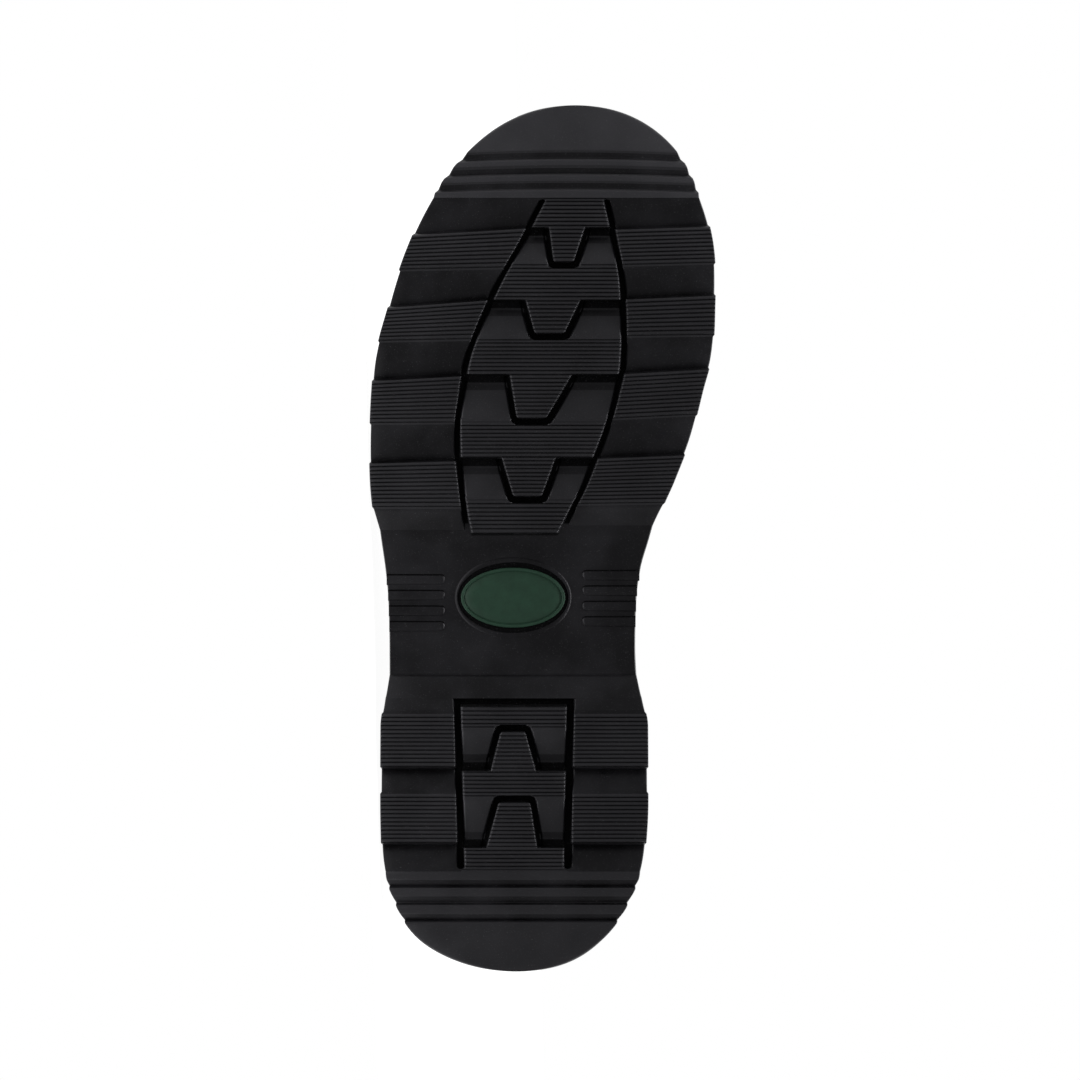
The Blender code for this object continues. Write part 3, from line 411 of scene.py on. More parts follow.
# Sections of the last: each plane runs from a low point, on the sole or up the back, to the ridge
# or the shaft's front.
# The cap is the share of the section that closes over the top, and the roundness the power of its curve.
Section = namedtuple("Section", "top_x top_z low_x low_z cap roundness")
ON_SOLE = None
LAST = [
    Section(295.5, 27.4, 295.5, ON_SOLE, 1.0, 2.4),
    Section(295.0, 37.0, 295.0, ON_SOLE, 1.0, 2.4),
    Section(293.0, 47.0, 293.0, ON_SOLE, 1.0, 2.4),
    Section(289.0, 55.5, 289.0, ON_SOLE, 1.0, 2.4),
    Section(282.0, 62.5, 282.0, ON_SOLE, 1.0, 2.4),
    Section(271.0, 68.0, 271.0, ON_SOLE, 1.0, 2.4),
    Section(257.0, 72.0, 257.0, ON_SOLE, 1.0, 2.4),
    Section(243.0, 76.0, 243.0, ON_SOLE, 1.0, 2.3),
    Section(229.0, 82.0, 227.0, ON_SOLE, 1.0, 2.2),
    Section(214.0, 91.0, 208.0, ON_SOLE, 1.0, 2.1),
    Section(199.5, 103.0, 187.0, ON_SOLE, 0.97, 2.05),
    Section(187.0, 114.5, 163.0, ON_SOLE, 0.92, 2.0),
    Section(176.5, 125.5, 136.0, ON_SOLE, 0.85, 2.0),
    Section(168.0, 135.0, 108.0, ON_SOLE, 0.77, 2.0),
    Section(161.5, 142.5, 80.0, ON_SOLE, 0.69, 2.0),
    Section(156.8, 148.3, 50.0, ON_SOLE, 0.62, 2.0),
    Section(153.2, 152.8, 25.0, ON_SOLE, 0.57, 2.05),
    Section(150.4, 156.6, 11.5, ON_SOLE, 0.54, 2.1),
    Section(147.2, 161.4, 8.5, ON_SOLE, 0.52, 2.1),
    Section(144.6, 165.8, 8.2, 34.5, 0.51, 2.1),
    Section(143.0, 168.8, 6.5, 52.0, 0.5, 2.15),
    Section(141.8, 171.2, 8.0, 78.0, 0.5, 2.2),
    Section(140.9, 173.2, 13.0, 104.0, 0.5, 2.2),
    Section(140.1, 175.0, 17.5, 130.0, 0.5, 2.2),
    Section(139.5, 176.5, 18.5, 164.0, 0.5, 2.2),
]
SEAT_ROW = 18

# Width of the upper above the welt, as a share of its width there
Girth = namedtuple("Girth", "z share")
GIRTHS = [Girth(30, 1.0), Girth(60, 1.03), Girth(100, 1.0), Girth(140, 1.04), Girth(176, 1.08)]

# Front edge of the quarters in side view
Seam = namedtuple("Seam", "z x")
VAMP_SEAM = [Seam(5, 168), Seam(20, 170), Seam(40, 178), Seam(62, 192), Seam(80, 206), Seam(96, 217)]


# Curves worked out from the tables


def smooth(rows, key, value):
    """A monotone cubic through one column of a table, as a function of another column."""
    xs = [float(getattr(row, key)) for row in rows]
    ys = [float(getattr(row, value)) for row in rows]
    steps = [(ys[i + 1] - ys[i]) / (xs[i + 1] - xs[i]) for i in range(len(xs) - 1)]
    slopes = [steps[0]]
    for before, after in zip(steps, steps[1:]):
        slopes.append(2 * before * after / (before + after) if before * after > 0 else 0.0)
    slopes.append(steps[-1])

    def at(x):
        x = min(max(x, xs[0]), xs[-1])
        i = min(bisect_right(xs, x), len(xs) - 1) - 1
        width = xs[i + 1] - xs[i]
        u = (x - xs[i]) / width
        rise = u * u * (3 - 2 * u)
        bend = u * (1 - u) * ((1 - u) * slopes[i] - u * slopes[i + 1]) * width
        return ys[i] + rise * (ys[i + 1] - ys[i]) + bend

    return at


def straight(points):
    """A broken line through points in rising order."""
    xs = [x for x, y in points]

    def at(x):
        if x <= xs[0]:
            return points[0][1]
        if x >= xs[-1]:
            return points[-1][1]
        i = bisect_right(xs, x) - 1
        (x0, y0), (x1, y1) = points[i : i + 2]
        return y0 + (y1 - y0) * (x - x0) / (x1 - x0) if x1 > x0 else y1

    return at


def mix(a, b, share):
    return a + (b - a) * share


def evenly(first, last, count):
    """Places from the first to the last, a count of even steps apart."""
    return [mix(first, last, i / count) for i in range(count + 1)]


def run_lengths(points):
    """Distance of each point of a broken line from the first, along the line."""
    lengths = [0.0]
    for a, b in zip(points, points[1:]):
        lengths.append(lengths[-1] + (b - a).length)
    return lengths


def stretch_at(lengths, distance):
    """The stretch of a broken line that a distance falls in, and the share of the way along it."""
    k = min(max(bisect_right(lengths, distance) - 1, 0), len(lengths) - 2)
    return k, (distance - lengths[k]) / max(lengths[k + 1] - lengths[k], TINY)


outline_half = smooth(OUTLINE, "x", "half")
outline_mid = smooth(OUTLINE, "x", "mid")
tread_z = smooth(PROFILE, "x", "tread")
floor_depth = smooth(PROFILE, "x", "floor_depth")
top_z = smooth(PROFILE, "x", "top")
groove_lateral = smooth(GROOVES, "x", "lateral")
groove_medial = smooth(GROOVES, "x", "medial")
girth = smooth(GIRTHS, "z", "share")
vamp_seam_x = smooth(VAMP_SEAM, "z", "x")


def floor_z(x):
    return tread_z(x) + floor_depth(x)


def side_z(x):
    """Top of the raised lug band on the sole's side."""
    return floor_z(x) + SIDE_LUG_SHARE * (top_z(x) - floor_z(x))


def rounded_end(distance, radius):
    """Share of the full width at a distance from a round end."""
    if distance >= radius:
        return 1.0
    return (1 - (1 - max(distance, 0.0) / radius) ** END_POWER) ** (1 / END_POWER)


def end_distance(share, radius):
    """Distance from a round end at which the width is a share of the full width."""
    return radius * (1 - (1 - share**END_POWER) ** (1 / END_POWER))


def rim(x, inset):
    """Middle line and half width of the outline drawn in by an inset, at a station."""
    station = (x - inset) * LENGTH / (LENGTH - 2 * inset)
    half = outline_half(station) * rounded_end(station, HEEL_ROUND) * rounded_end(LENGTH - station, TOE_ROUND)
    return outline_mid(station), half - inset * min(1.0, half / INSET_FADE)


def edge_y(side, x, inset=0.0):
    mid, half = rim(x, inset)
    return mid + side * half


def stations(inset):
    """Places along the outline, close together where the ends are round."""
    turns = [math.radians(angle) for angle in range(0, 90, STATION_DEGREES)]
    heel = [inset + HEEL_ROUND * (1 - math.cos(turn)) for turn in turns]
    toe = [LENGTH - inset - TOE_ROUND * (1 - math.cos(turn)) for turn in turns]
    first, last = HEEL_ROUND + inset, LENGTH - TOE_ROUND - inset
    return heel + evenly(first, last, round((last - first) / STATION_STEP)) + toe[::-1]


# Surface of the last


def on_sole(sec):
    return sec._replace(low_z=top_z(sec.low_x) - UPPER_TRIM)


SECTIONS = [on_sole(sec) if sec.low_z is ON_SOLE else sec for sec in LAST]
LAST_ROW = len(SECTIONS) - 1
back_x = smooth(SECTIONS[SEAT_ROW:], "low_z", "low_x")


def section(row):
    """The section at a whole or part row of the table, or moved on along the shaft front past the collar."""
    if row > LAST_ROW:
        before, sec = SECTIONS[-2:]
        run_x, run_z = sec.top_x - before.top_x, sec.top_z - before.top_z
        past = row - LAST_ROW
        return sec._replace(
            top_x=sec.top_x + run_x * past,
            top_z=sec.top_z + run_z * past,
            low_x=sec.low_x + run_x * past,
            low_z=sec.low_z + run_z * past,
        )
    i = min(max(int(row), 0), LAST_ROW - 1)
    around = [SECTIONS[min(max(k, 0), LAST_ROW)] for k in (i - 1, i, i + 1, i + 2)]
    u = row - i
    weights = (
        (-u + 2 * u * u - u**3) / 2,
        (2 - 5 * u * u + 3 * u**3) / 2,
        (u + 4 * u * u - 3 * u**3) / 2,
        (-u * u + u**3) / 2,
    )
    made = Section(*(sum(w * v for w, v in zip(weights, column)) for column in zip(*around)))
    return on_sole(made) if row <= SEAT_ROW else made._replace(low_x=back_x(made.low_z))


def last_half(x, z):
    """Middle line and half width of the upper at a height, before it closes over the top."""
    fade = min(max((LEAN_END_X - x) / LEAN_FADE, 0.0), 1.0)
    lean = (back_x(z) - SECTIONS[SEAT_ROW].low_x) * fade
    mid, half = rim(x - lean, UPPER_INSET)
    return mid, half * girth(z)


def last_point(row, angle, side):
    """A point on the outside of the upper: angle 0 at the sole or back seam, 90 degrees at the ridge."""
    sec = section(row)
    up = min(max(math.sin(angle), 0.0), 1.0) ** (2 / sec.roundness)
    inward = max(1 - (1 - up) / sec.cap, 0.0)
    across = max(1 - inward**sec.roundness, 0.0) ** (1 / sec.roundness)
    x = mix(sec.low_x, sec.top_x, up)
    z = mix(sec.low_z, sec.top_z, up)
    mid, half = last_half(x, z)
    return Vector((x, mid + side * max(half, 0.0) * across, z))


def angle_at(row, width):
    """The angle where the upper is a given half width from its middle line, near the ridge."""
    sec = section(row)
    across = min(width / last_half(sec.top_x, sec.top_z)[1], 1.0)
    inward = (1 - across**sec.roundness) ** (1 / sec.roundness)
    return math.asin((1 - (1 - inward) * sec.cap) ** (sec.roundness / 2))


def round_last(row, angle, side):
    """A point on the upper that may go on over the ridge, or past the back seam, to the other side."""
    if angle > math.pi / 2:
        return last_point(row, math.pi - angle, -side)
    if angle < 0 and row > SEAT_ROW:
        return last_point(row, -angle, -side)
    return last_point(row, max(angle, 0.0), side)


def last_normal(row, angle, side):
    along = round_last(row + NORMAL_STEP, angle, side) - round_last(row - NORMAL_STEP, angle, side)
    up = round_last(row, angle + NORMAL_STEP, side) - round_last(row, angle - NORMAL_STEP, side)
    return (side * along.cross(up)).normalized()


def over_last(row, width, lift):
    """A point at a signed half width from the middle line, lifted off the upper, and the normal there."""
    side = MEDIAL if width > 0 else LATERAL
    angle = angle_at(row, abs(width))
    normal = last_normal(row, angle, side)
    return last_point(row, angle, side) + normal * lift, normal


def throat_half(row):
    """Half width of the lacing gap: round at its base, then even up to the collar."""
    share = min(max((row - THROAT_ROW) / THROAT_ROUND_ROWS, 0.0), 1.0)
    return THROAT_HALF * math.sqrt(1 - (1 - share) ** 2)


def skin_angle(row, share):
    """The angle at a share of the way from the sole or back seam to the ridge or throat edge."""
    end = angle_at(row, throat_half(row)) if row > THROAT_ROW else math.pi / 2
    return end * share


def skin_point(row, share, side, lift):
    angle = skin_angle(row, share)
    normal = last_normal(row, angle, side)
    return last_point(row, angle, side) + normal * lift, normal


def crossing(low, high, rises):
    """The row between two rows where a rising test turns from negative to positive."""
    for _ in range(CROSSING_STEPS):
        middle = (low + high) / 2
        if rises(middle) < 0:
            low = middle
        else:
            high = middle
    return (low + high) / 2


def vamp_row(share, side, back=0.0):
    """Row of the quarter's front edge, or of a line a distance behind it."""

    def rises(row):
        point = last_point(row, skin_angle(row, share), side)
        return vamp_seam_x(point.z) - back - point.x

    return crossing(VAMP_FIRST_ROW, VAMP_LAST_ROW, rises)


def collar_row(share, side, below=0.0):
    """Row of the collar band's lower edge, or of a line a distance below it."""
    (x0, z0), (x1, z1) = COLLAR_BACK, COLLAR_FRONT

    def rises(row):
        point = last_point(row, skin_angle(row, share), side)
        return point.z - mix(z0, z1, (point.x - x0) / (x1 - x0)) + COLLAR_BAND + below

    return crossing(COLLAR_FIRST_ROW, LAST_ROW, rises)


# Meshes

WELD_DISTANCE, SLIVER_LENGTH = 2e-6, 1e-7


def boot_matrix(mounts):
    """World matrix of the standing frame, from the two mounts on the tread and their normal."""
    places = {mount["name"]: mount for mount in mounts}
    heel = Vector(places["heel_tread"]["pos_m"])
    forefoot = Vector(places["forefoot_tread"]["pos_m"])
    up = -Vector(places["heel_tread"]["axis"]).normalized()
    run = FOREFOOT_MOUNT - HEEL_MOUNT
    level = forefoot - heel
    level -= up * level.dot(up)
    toe = Quaternion(up, -math.atan2(run.y, run.x)) @ level.normalized()
    turn = Matrix((toe, up.cross(toe), up)).transposed()
    origin = heel - turn @ (HEEL_MOUNT * MM)
    return Matrix.Translation(origin) @ turn.to_4x4() @ Matrix.Scale(MM, 4)


BOOT = boot_matrix(frame["record"]["mounts"])


class Form:
    """Points and faces of one piece, in boot millimetres, each face in one of the piece's finishes."""

    def __init__(self):
        self.points = []
        self.faces = []
        self.coats = []

    def face(self, corners, coat):
        self.faces.append(corners)
        self.coats.append(coat)

    def grid(self, rows, around=False, coat=lambda row, column: 0):
        """Quads between rows of points, closed across each row where it runs around."""
        start, width = len(self.points), len(rows[0])
        for row in rows:
            self.points.extend(Vector(point) for point in row)
        for r in range(len(rows) - 1):
            for c in range(width if around else width - 1):
                a, b = start + r * width + c, start + r * width + (c + 1) % width
                self.face((a, b, b + width, a + width), coat(r, c))
        return start

    def loft(self, rings, coat=lambda row, column: 0):
        """A closed solid through rings, capped at both ends."""
        start, width = self.grid(rings, True, coat), len(rings[0])
        last = start + (len(rings) - 1) * width
        self.face(tuple(range(start, start + width)), coat(0, 0))
        self.face(tuple(range(last, last + width)), coat(len(rings) - 1, 0))

    def ring(self, rings, coat=lambda row, column: 0):
        """A closed solid through rings that come back to the first."""
        self.grid([*rings, rings[0]], True, coat)

    def piece(self, name, finishes, nodes=(), sharp=50.0, outward=True):
        """The finished object, riding on the boot."""
        mesh = bpy.data.meshes.new(name)
        mesh.from_pydata([BOOT @ point for point in self.points], [], self.faces)
        mesh.polygons.foreach_set("material_index", self.coats)
        bm = bmesh.new()
        bm.from_mesh(mesh)
        bmesh.ops.remove_doubles(bm, verts=bm.verts, dist=WELD_DISTANCE)
        bmesh.ops.dissolve_degenerate(bm, edges=bm.edges, dist=SLIVER_LENGTH)
        if outward:
            bmesh.ops.recalc_face_normals(bm, faces=bm.faces)
        bm.to_mesh(mesh)
        bm.free()
        for finish in finishes:
            mesh.materials.append(finish)
        mesh.shade_smooth()
        mesh.set_sharp_from_angle(angle=math.radians(sharp))
        obj = bpy.data.objects.new(name, mesh)
        bpy.context.scene.collection.objects.link(obj)
        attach(obj, "root")
        if nodes:
            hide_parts(*nodes)
        return obj


# Materials

WANDER = (0.3, 0.7)


class Finish:
    """A Principled material whose colour, gloss and relief come from procedural nodes."""

    def __init__(self, name):
        self.material = bpy.data.materials.new(name)
        self.material.use_nodes = True
        self.tree = self.material.node_tree
        self.shader = self.tree.nodes["Principled BSDF"]
        self.place = self.node("ShaderNodeTexCoord").outputs["Object"]
        self.relief = None

    def node(self, kind, **values):
        made = self.tree.nodes.new(kind)
        for key, value in values.items():
            setattr(made, key, value)
        return made

    def link(self, source, target):
        self.tree.links.new(source, target)

    def pattern(self, kind, output, values, **options):
        """A texture laid on the object, with its input values."""
        made = self.node(kind, **options)
        for key, value in values.items():
            made.inputs[key].default_value = value
        self.link(self.place, made.inputs["Vector"])
        return made.outputs[output]

    def noise(self, scale, detail):
        return self.pattern("ShaderNodeTexNoise", "Fac", {"Scale": scale, "Detail": detail})

    def cells(self, scale):
        return self.pattern("ShaderNodeTexVoronoi", "Distance", {"Scale": scale}, feature="DISTANCE_TO_EDGE")

    def threads(self, scale):
        options = {"wave_type": "BANDS", "bands_direction": "DIAGONAL"}
        return self.pattern("ShaderNodeTexWave", "Fac", {"Scale": scale}, **options)

    def span(self, source, low, high, to_low, to_high):
        made = self.node("ShaderNodeMapRange")
        for key, value in zip(("From Min", "From Max", "To Min", "To Max"), (low, high, to_low, to_high)):
            made.inputs[key].default_value = value
        self.link(source, made.inputs["Value"])
        return made.outputs["Result"]

    def clouds(self, noise, dark, pale, reach=WANDER):
        """Base colour that wanders between two tints."""
        ramp = self.node("ShaderNodeValToRGB")
        for element, place, tint in zip(ramp.color_ramp.elements, reach, (dark, pale)):
            element.position = place
            element.color = (*tint, 1.0)
        self.link(self.noise(*noise), ramp.inputs["Fac"])
        self.link(ramp.outputs["Color"], self.shader.inputs["Base Color"])

    def specks(self, noise, reach, tint):
        """A second colour over the first, where a noise is high."""
        colour = self.shader.inputs["Base Color"]
        under = colour.links[0].from_socket
        mixer = self.node("ShaderNodeMixRGB")
        mixer.inputs["Color2"].default_value = (*tint, 1.0)
        self.link(self.span(self.noise(*noise), *reach, 0.0, 1.0), mixer.inputs["Fac"])
        self.link(under, mixer.inputs["Color1"])
        self.link(mixer.outputs["Color"], colour)

    def gloss(self, noise, least_rough, most_rough):
        """Roughness that wanders between two values."""
        rough = self.span(self.noise(*noise), *WANDER, least_rough, most_rough)
        self.link(rough, self.shader.inputs["Roughness"])

    def bump(self, source, depth, strength):
        made = self.node("ShaderNodeBump")
        made.inputs["Distance"].default_value = depth * MM
        made.inputs["Strength"].default_value = strength
        self.link(source, made.inputs["Height"])
        if self.relief:
            self.link(self.relief, made.inputs["Normal"])
        self.relief = made.outputs["Normal"]
        self.link(self.relief, self.shader.inputs["Normal"])

    def grain(self, bumps):
        """Fine relief from several noises."""
        for row in bumps:
            self.bump(self.noise(row.scale, row.detail), row.depth, row.strength)

    def set(self, **values):
        for key, value in values.items():
            self.shader.inputs[key.replace("_", " ").title().replace("Ior", "IOR")].default_value = value
        return self


Noise = namedtuple("Noise", "scale detail")
Bump = namedtuple("Bump", "scale detail depth strength")

# Rubber of each finish of the sole: the rubbed rubber is also painted light on slopes, and the near-black one
# is painted shade
Rubber = namedtuple("Rubber", "name dark pale least_rough most_rough specular")
RUBBERS = [
    Rubber("sole_rubber", (0.002, 0.0019, 0.0023), (0.0105, 0.0103, 0.012), 0.27, 0.42, 0.25),
    Rubber("rubbed_and_lit_rubber", (0.008, 0.0078, 0.0091), (0.0125, 0.0122, 0.014), 0.32, 0.42, 0.41),
    Rubber("worn_rubber", (0.0166, 0.0163, 0.0187), (0.023, 0.0226, 0.0254), 0.46, 0.58, 0.4),
    Rubber("painted_shade_rubber", (0.0006, 0.0006, 0.0007), (0.001, 0.001, 0.0012), 0.7, 0.8, 0.08),
]
RUBBER_SHEEN = (0.95, 0.94, 1.0, 1.0)
RUBBER_CLOUDS, RUBBER_CLOUD_REACH, RUBBER_GLOSS = Noise(45.0, 5.0), (0.42, 0.7), Noise(90.0, 5.0)
RUBBER_BUMPS = [Bump(420.0, 3.0, 0.05, 0.4), Bump(2600.0, 2.0, 0.012, 0.5)]
DUST_NOISE, DUST_REACH, DUST_TINT = Noise(3200.0, 3.0), (0.63, 0.77), (0.06, 0.06, 0.063)

# Plain finishes, and the leathers, which have pebbles parted by fine creases as well
Plain = namedtuple("Plain", "name dark pale clouds least_rough most_rough gloss specular bumps")
BADGE_GREEN = Plain(
    name="badge_rubber",
    dark=(0.0105, 0.0345, 0.0197),
    pale=(0.0138, 0.0447, 0.0258),
    clouds=Noise(300.0, 4.0),
    least_rough=0.42,
    most_rough=0.56,
    gloss=Noise(500.0, 3.0),
    specular=0.28,
    bumps=[Bump(1800.0, 3.0, 0.02, 0.6)],
)
UPPER_LEATHER = Plain(
    name="upper_leather",
    dark=(0.009, 0.0085, 0.0082),
    pale=(0.016, 0.015, 0.0145),
    clouds=Noise(60.0, 4.0),
    least_rough=0.34,
    most_rough=0.5,
    gloss=Noise(260.0, 4.0),
    specular=0.3,
    bumps=[Bump(2250.0, 3.0, 0.05, 0.4), Bump(70.0, 3.0, 0.5, 0.15)],
)
TONGUE_BUMPS = [Bump(3000.0, 3.0, 0.05, 0.4), Bump(70.0, 3.0, 0.5, 0.15)]
TONGUE_LEATHER = UPPER_LEATHER._replace(name="tongue_leather", bumps=TONGUE_BUMPS)
WELT_LEATHER = Plain(
    name="welt_leather",
    dark=(0.007, 0.0065, 0.006),
    pale=(0.014, 0.013, 0.012),
    clouds=Noise(200.0, 4.0),
    least_rough=0.42,
    most_rough=0.58,
    gloss=Noise(300.0, 4.0),
    specular=0.4,
    bumps=[Bump(900.0, 4.0, 0.08, 0.5)],
)
EYELET_METAL = Plain(
    name="eyelet_metal",
    dark=(0.055, 0.055, 0.058),
    pale=(0.1, 0.1, 0.105),
    clouds=Noise(600.0, 4.0),
    least_rough=0.24,
    most_rough=0.4,
    gloss=Noise(900.0, 4.0),
    specular=0.5,
    bumps=[Bump(2500.0, 2.0, 0.01, 0.4)],
)
WAXED_THREAD = Plain(
    name="thread",
    dark=(0.018, 0.017, 0.016),
    pale=(0.035, 0.033, 0.031),
    clouds=Noise(900.0, 3.0),
    least_rough=0.5,
    most_rough=0.7,
    gloss=Noise(900.0, 3.0),
    specular=0.3,
    bumps=[Bump(2500.0, 2.0, 0.05, 0.6)],
)
Pebbles = namedtuple("Pebbles", "scale depth strength")
UPPER_PEBBLES, TONGUE_PEBBLES, PEBBLE_EDGE = Pebbles(900.0, 0.12, 0.35), Pebbles(1200.0, 0.1, 0.35), 0.14

# Cloths of crossing threads
Cloth = namedtuple("Cloth", "name dark pale thread depth rough")
INSOLE_CLOTH = Cloth("insole_cloth", (0.05, 0.05, 0.052), (0.085, 0.085, 0.088), 900.0, 0.1, 0.9)
LINING_CLOTH = Cloth("lining_cloth", (0.03, 0.03, 0.031), (0.05, 0.05, 0.052), 1100.0, 0.08, 0.9)
LACE_CORD = Cloth("lace_cord", (0.01, 0.01, 0.011), (0.022, 0.022, 0.024), 1000.0, 0.18, 0.75)
CLOTH_SPECULAR, CLOTH_STRENGTH, CLOTH_CLOUDS = 0.2, 0.5, Noise(700.0, 3.0)
CLOTH_FUZZ = Noise(2400.0, 2.0)


def rubber(row):
    """Moulded black rubber with a cloudy bloom and a little dust."""
    finish = Finish(row.name).set(specular_ior_level=row.specular, specular_tint=RUBBER_SHEEN)
    finish.clouds(RUBBER_CLOUDS, row.dark, row.pale, RUBBER_CLOUD_REACH)
    finish.specks(DUST_NOISE, DUST_REACH, DUST_TINT)
    finish.gloss(RUBBER_GLOSS, row.least_rough, row.most_rough)
    finish.grain(RUBBER_BUMPS)
    return finish.material


def plain(row, pebbles=None, metallic=0.0):
    """A finish with wandering tint and gloss, fine grain, and pebbles where it is grained leather."""
    finish = Finish(row.name).set(specular_ior_level=row.specular, metallic=metallic)
    finish.clouds(row.clouds, row.dark, row.pale)
    finish.gloss(row.gloss, row.least_rough, row.most_rough)
    if pebbles:
        rounds = finish.span(finish.cells(pebbles.scale), 0.0, PEBBLE_EDGE, 0.0, 1.0)
        finish.bump(rounds, pebbles.depth, pebbles.strength)
    finish.grain(row.bumps)
    return finish.material


def woven(row):
    finish = Finish(row.name).set(roughness=row.rough, specular_ior_level=CLOTH_SPECULAR)
    finish.clouds(CLOTH_CLOUDS, row.dark, row.pale)
    finish.bump(finish.threads(row.thread), row.depth, CLOTH_STRENGTH)
    finish.bump(finish.noise(*CLOTH_FUZZ), row.depth / 2, CLOTH_STRENGTH)
    return finish.material


# Tread blocks

Row = namedtuple("Row", "left_x right_x depth inset bow coat", defaults=(0.0, MOULDED))
Edge = namedtuple("Edge", "y soft outer")


def rim_round(x):
    """Rounding of the outline's edge: fuller towards both tips."""
    return mix(TIP_ROUND, RIM_ROUND, min(x / TIP_ROUND_REACH, (LENGTH - x) / TIP_ROUND_REACH, 1.0))


LATERAL_EDGE = Edge(lambda x, inset: edge_y(LATERAL, x, inset), rim_round, True)
MEDIAL_EDGE = Edge(lambda x, inset: edge_y(MEDIAL, x, inset), rim_round, True)


def open_half(distance, half):
    """Half width of a groove at a distance from its round end; past the end its walls lap a little."""
    if distance <= 0:
        return -JOINT_SINK
    return math.sqrt(half**2 - (half - min(distance, half)) ** 2)


def groove_wall(middle, distance, half, sign):
    """The wall on one side of a groove that has a round end."""

    def y(x, inset):
        return middle(x) + sign * open_half(distance(x), half)

    def soft(x):
        return min(EDGE_ROUND, max(open_half(distance(x), half), 0.0))

    return Edge(y, soft, False)


def round_places(end, half, away):
    """Stations round the end of a groove."""
    turns = [math.radians(angle) for angle in range(0, 91, ROUND_DEGREES)]
    return [end + away * half * (1 - math.cos(turn)) for turn in turns]


def turned(depth, drop):
    """Depth where an edge turns down by a drop: the fine ribs are cut through it, and slopes carry it."""
    return max(depth, drop) if depth <= RIB_DEPTH else depth + drop


def soft_edge(place, reach, depth, drop):
    """Places across and depths round a soft edge, which falls by a drop at its own place."""
    return [(place + reach * across, turned(depth, drop * down)) for across, down in SOFT_TURN]


def edge_points(x, depth, inset, edge, inward, room):
    """One edge of a block in section, from its root in the sole, down the wall and round onto the tread."""
    y, ground = edge.y(x, inset), tread_z(x)
    soft = min(edge.soft(x), room / 3)
    turn = [(x, place, ground + down) for place, down in soft_edge(y, inward * soft, depth, soft)]
    if not edge.outer:
        return [(x, y - inward * WALL_DRAFT / 2, floor_z(x) + FLOOR_SINK), *turn]
    roof, bend = side_z(x), min(SIDE_ROUND, room / 3)
    deep = min(ROOF_REACH, room / 2)
    return [(x, y + inward * deep, roof), (x, y + inward * bend, roof), (x, y, roof - bend), *turn]


def tread_block(form, rows, left, right):
    """A run of tread between two edges, rising and falling row by row."""
    rings = []
    for row in rows:
        room = (right.y(row.right_x, row.inset) - left.y(row.left_x, row.inset)) / 2
        a = edge_points(row.left_x, row.depth, row.inset, left, 1, room)
        b = edge_points(row.right_x, row.depth, row.inset, right, -1, room)
        middle = []
        for i in range(1, BLOCK_COLUMNS):
            share = i / BLOCK_COLUMNS
            x = mix(a[-1][0], b[-1][0], share) + row.bow * 4 * share * (1 - share)
            middle.append((x, mix(a[-1][1], b[-1][1], share), tread_z(x) + row.depth))
        rings.append(a + middle + b[::-1])
    form.loft(rings, lambda row, column: rows[row].coat)


def rib_count(length):
    return max(1, round(abs(length) / RIB_PITCH))


def rib_coat(step):
    """Finish of a rib from a step of its section on: painted shade, near black, in the valley, and the pale
    rubbed rubber on the rest.
    """
    return PAINTED_SHADE if step >= RIB_VALLEY else RUBBED_AND_LIT


def ribbed(front, back):
    """Rows of a ground band between its front and back, each a pair of left and right places."""
    count = rib_count((front[0] - back[0] + front[1] - back[1]) / 2)
    steps = [((i + step) / count, depth, rib_coat(step)) for i in range(count) for step, depth in RIB_STEPS]
    rows = []
    for share, depth, coat in [*steps, (1.0, 1.0, RUBBED_AND_LIT)]:
        left, right = (mix(a, b, share) for a, b in zip(front, back))
        rows.append(Row(left, right, depth * RIB_DEPTH, 0.0, 0.0, coat))
    return rows


def joined(rows):
    """Rows with the long stretches between them filled in."""
    filled = [rows[0]]
    for row in rows[1:]:
        last = filled[-1]
        if abs(row.left_x - last.left_x) > 2 * RIB_PITCH:
            shares = [i / SLOPE_ROWS for i in range(1, SLOPE_ROWS)]
            filled += [Row(*(mix(a, b, share) for a, b in zip(last[:5], row[:5]))) for share in shares]
        filled.append(row)
    return filled


def forefoot_side(lugs, slope_end, outer_left):
    """Sawtooth run: each band is flat on the ground, then slopes back to the wall of the next one."""

    def pair(outer, inner):
        return (outer, inner) if outer_left else (inner, outer)

    foot = lugs[0].front_inner + WALL_DRAFT
    rows = [Row(TOE_SLOPE_X, TOE_SLOPE_X, JOINT_SINK, SLOPE_INSET)]
    for x in round_places(GROOVE_TOE_X, GROOVE / 2, -1):
        depth = mix(JOINT_SINK, SLOPE_DEPTH, (TOE_SLOPE_X - x) / (TOE_SLOPE_X - foot))
        rows.append(Row(x, x, depth, SLOPE_INSET))
    for lug in lugs:
        front, back = pair(lug.front_outer, lug.front_inner), pair(lug.back_outer, lug.back_inner)
        rows.append(Row(front[0] + WALL_DRAFT, front[1] + WALL_DRAFT, SLOPE_DEPTH, SLOPE_INSET))
        rows += ribbed(front, back)
        rows.append(Row(back[0] - WALL_DRAFT, back[1] - WALL_DRAFT, RIB_DEPTH, SLOPE_INSET))
    rows.append(Row(slope_end, slope_end, floor_depth(slope_end) + JOINT_SINK, BASE_INSET))
    return joined(rows)


def breast_depth(x):
    """Depth of the slope that rises from the waist to the first heel lugs."""
    flush = HEEL_SIDE_BANDS[0].front
    return (floor_depth(BREAST_FRONT_X) - BREAST_LIP) * (x - flush) / (BREAST_FRONT_X - flush)


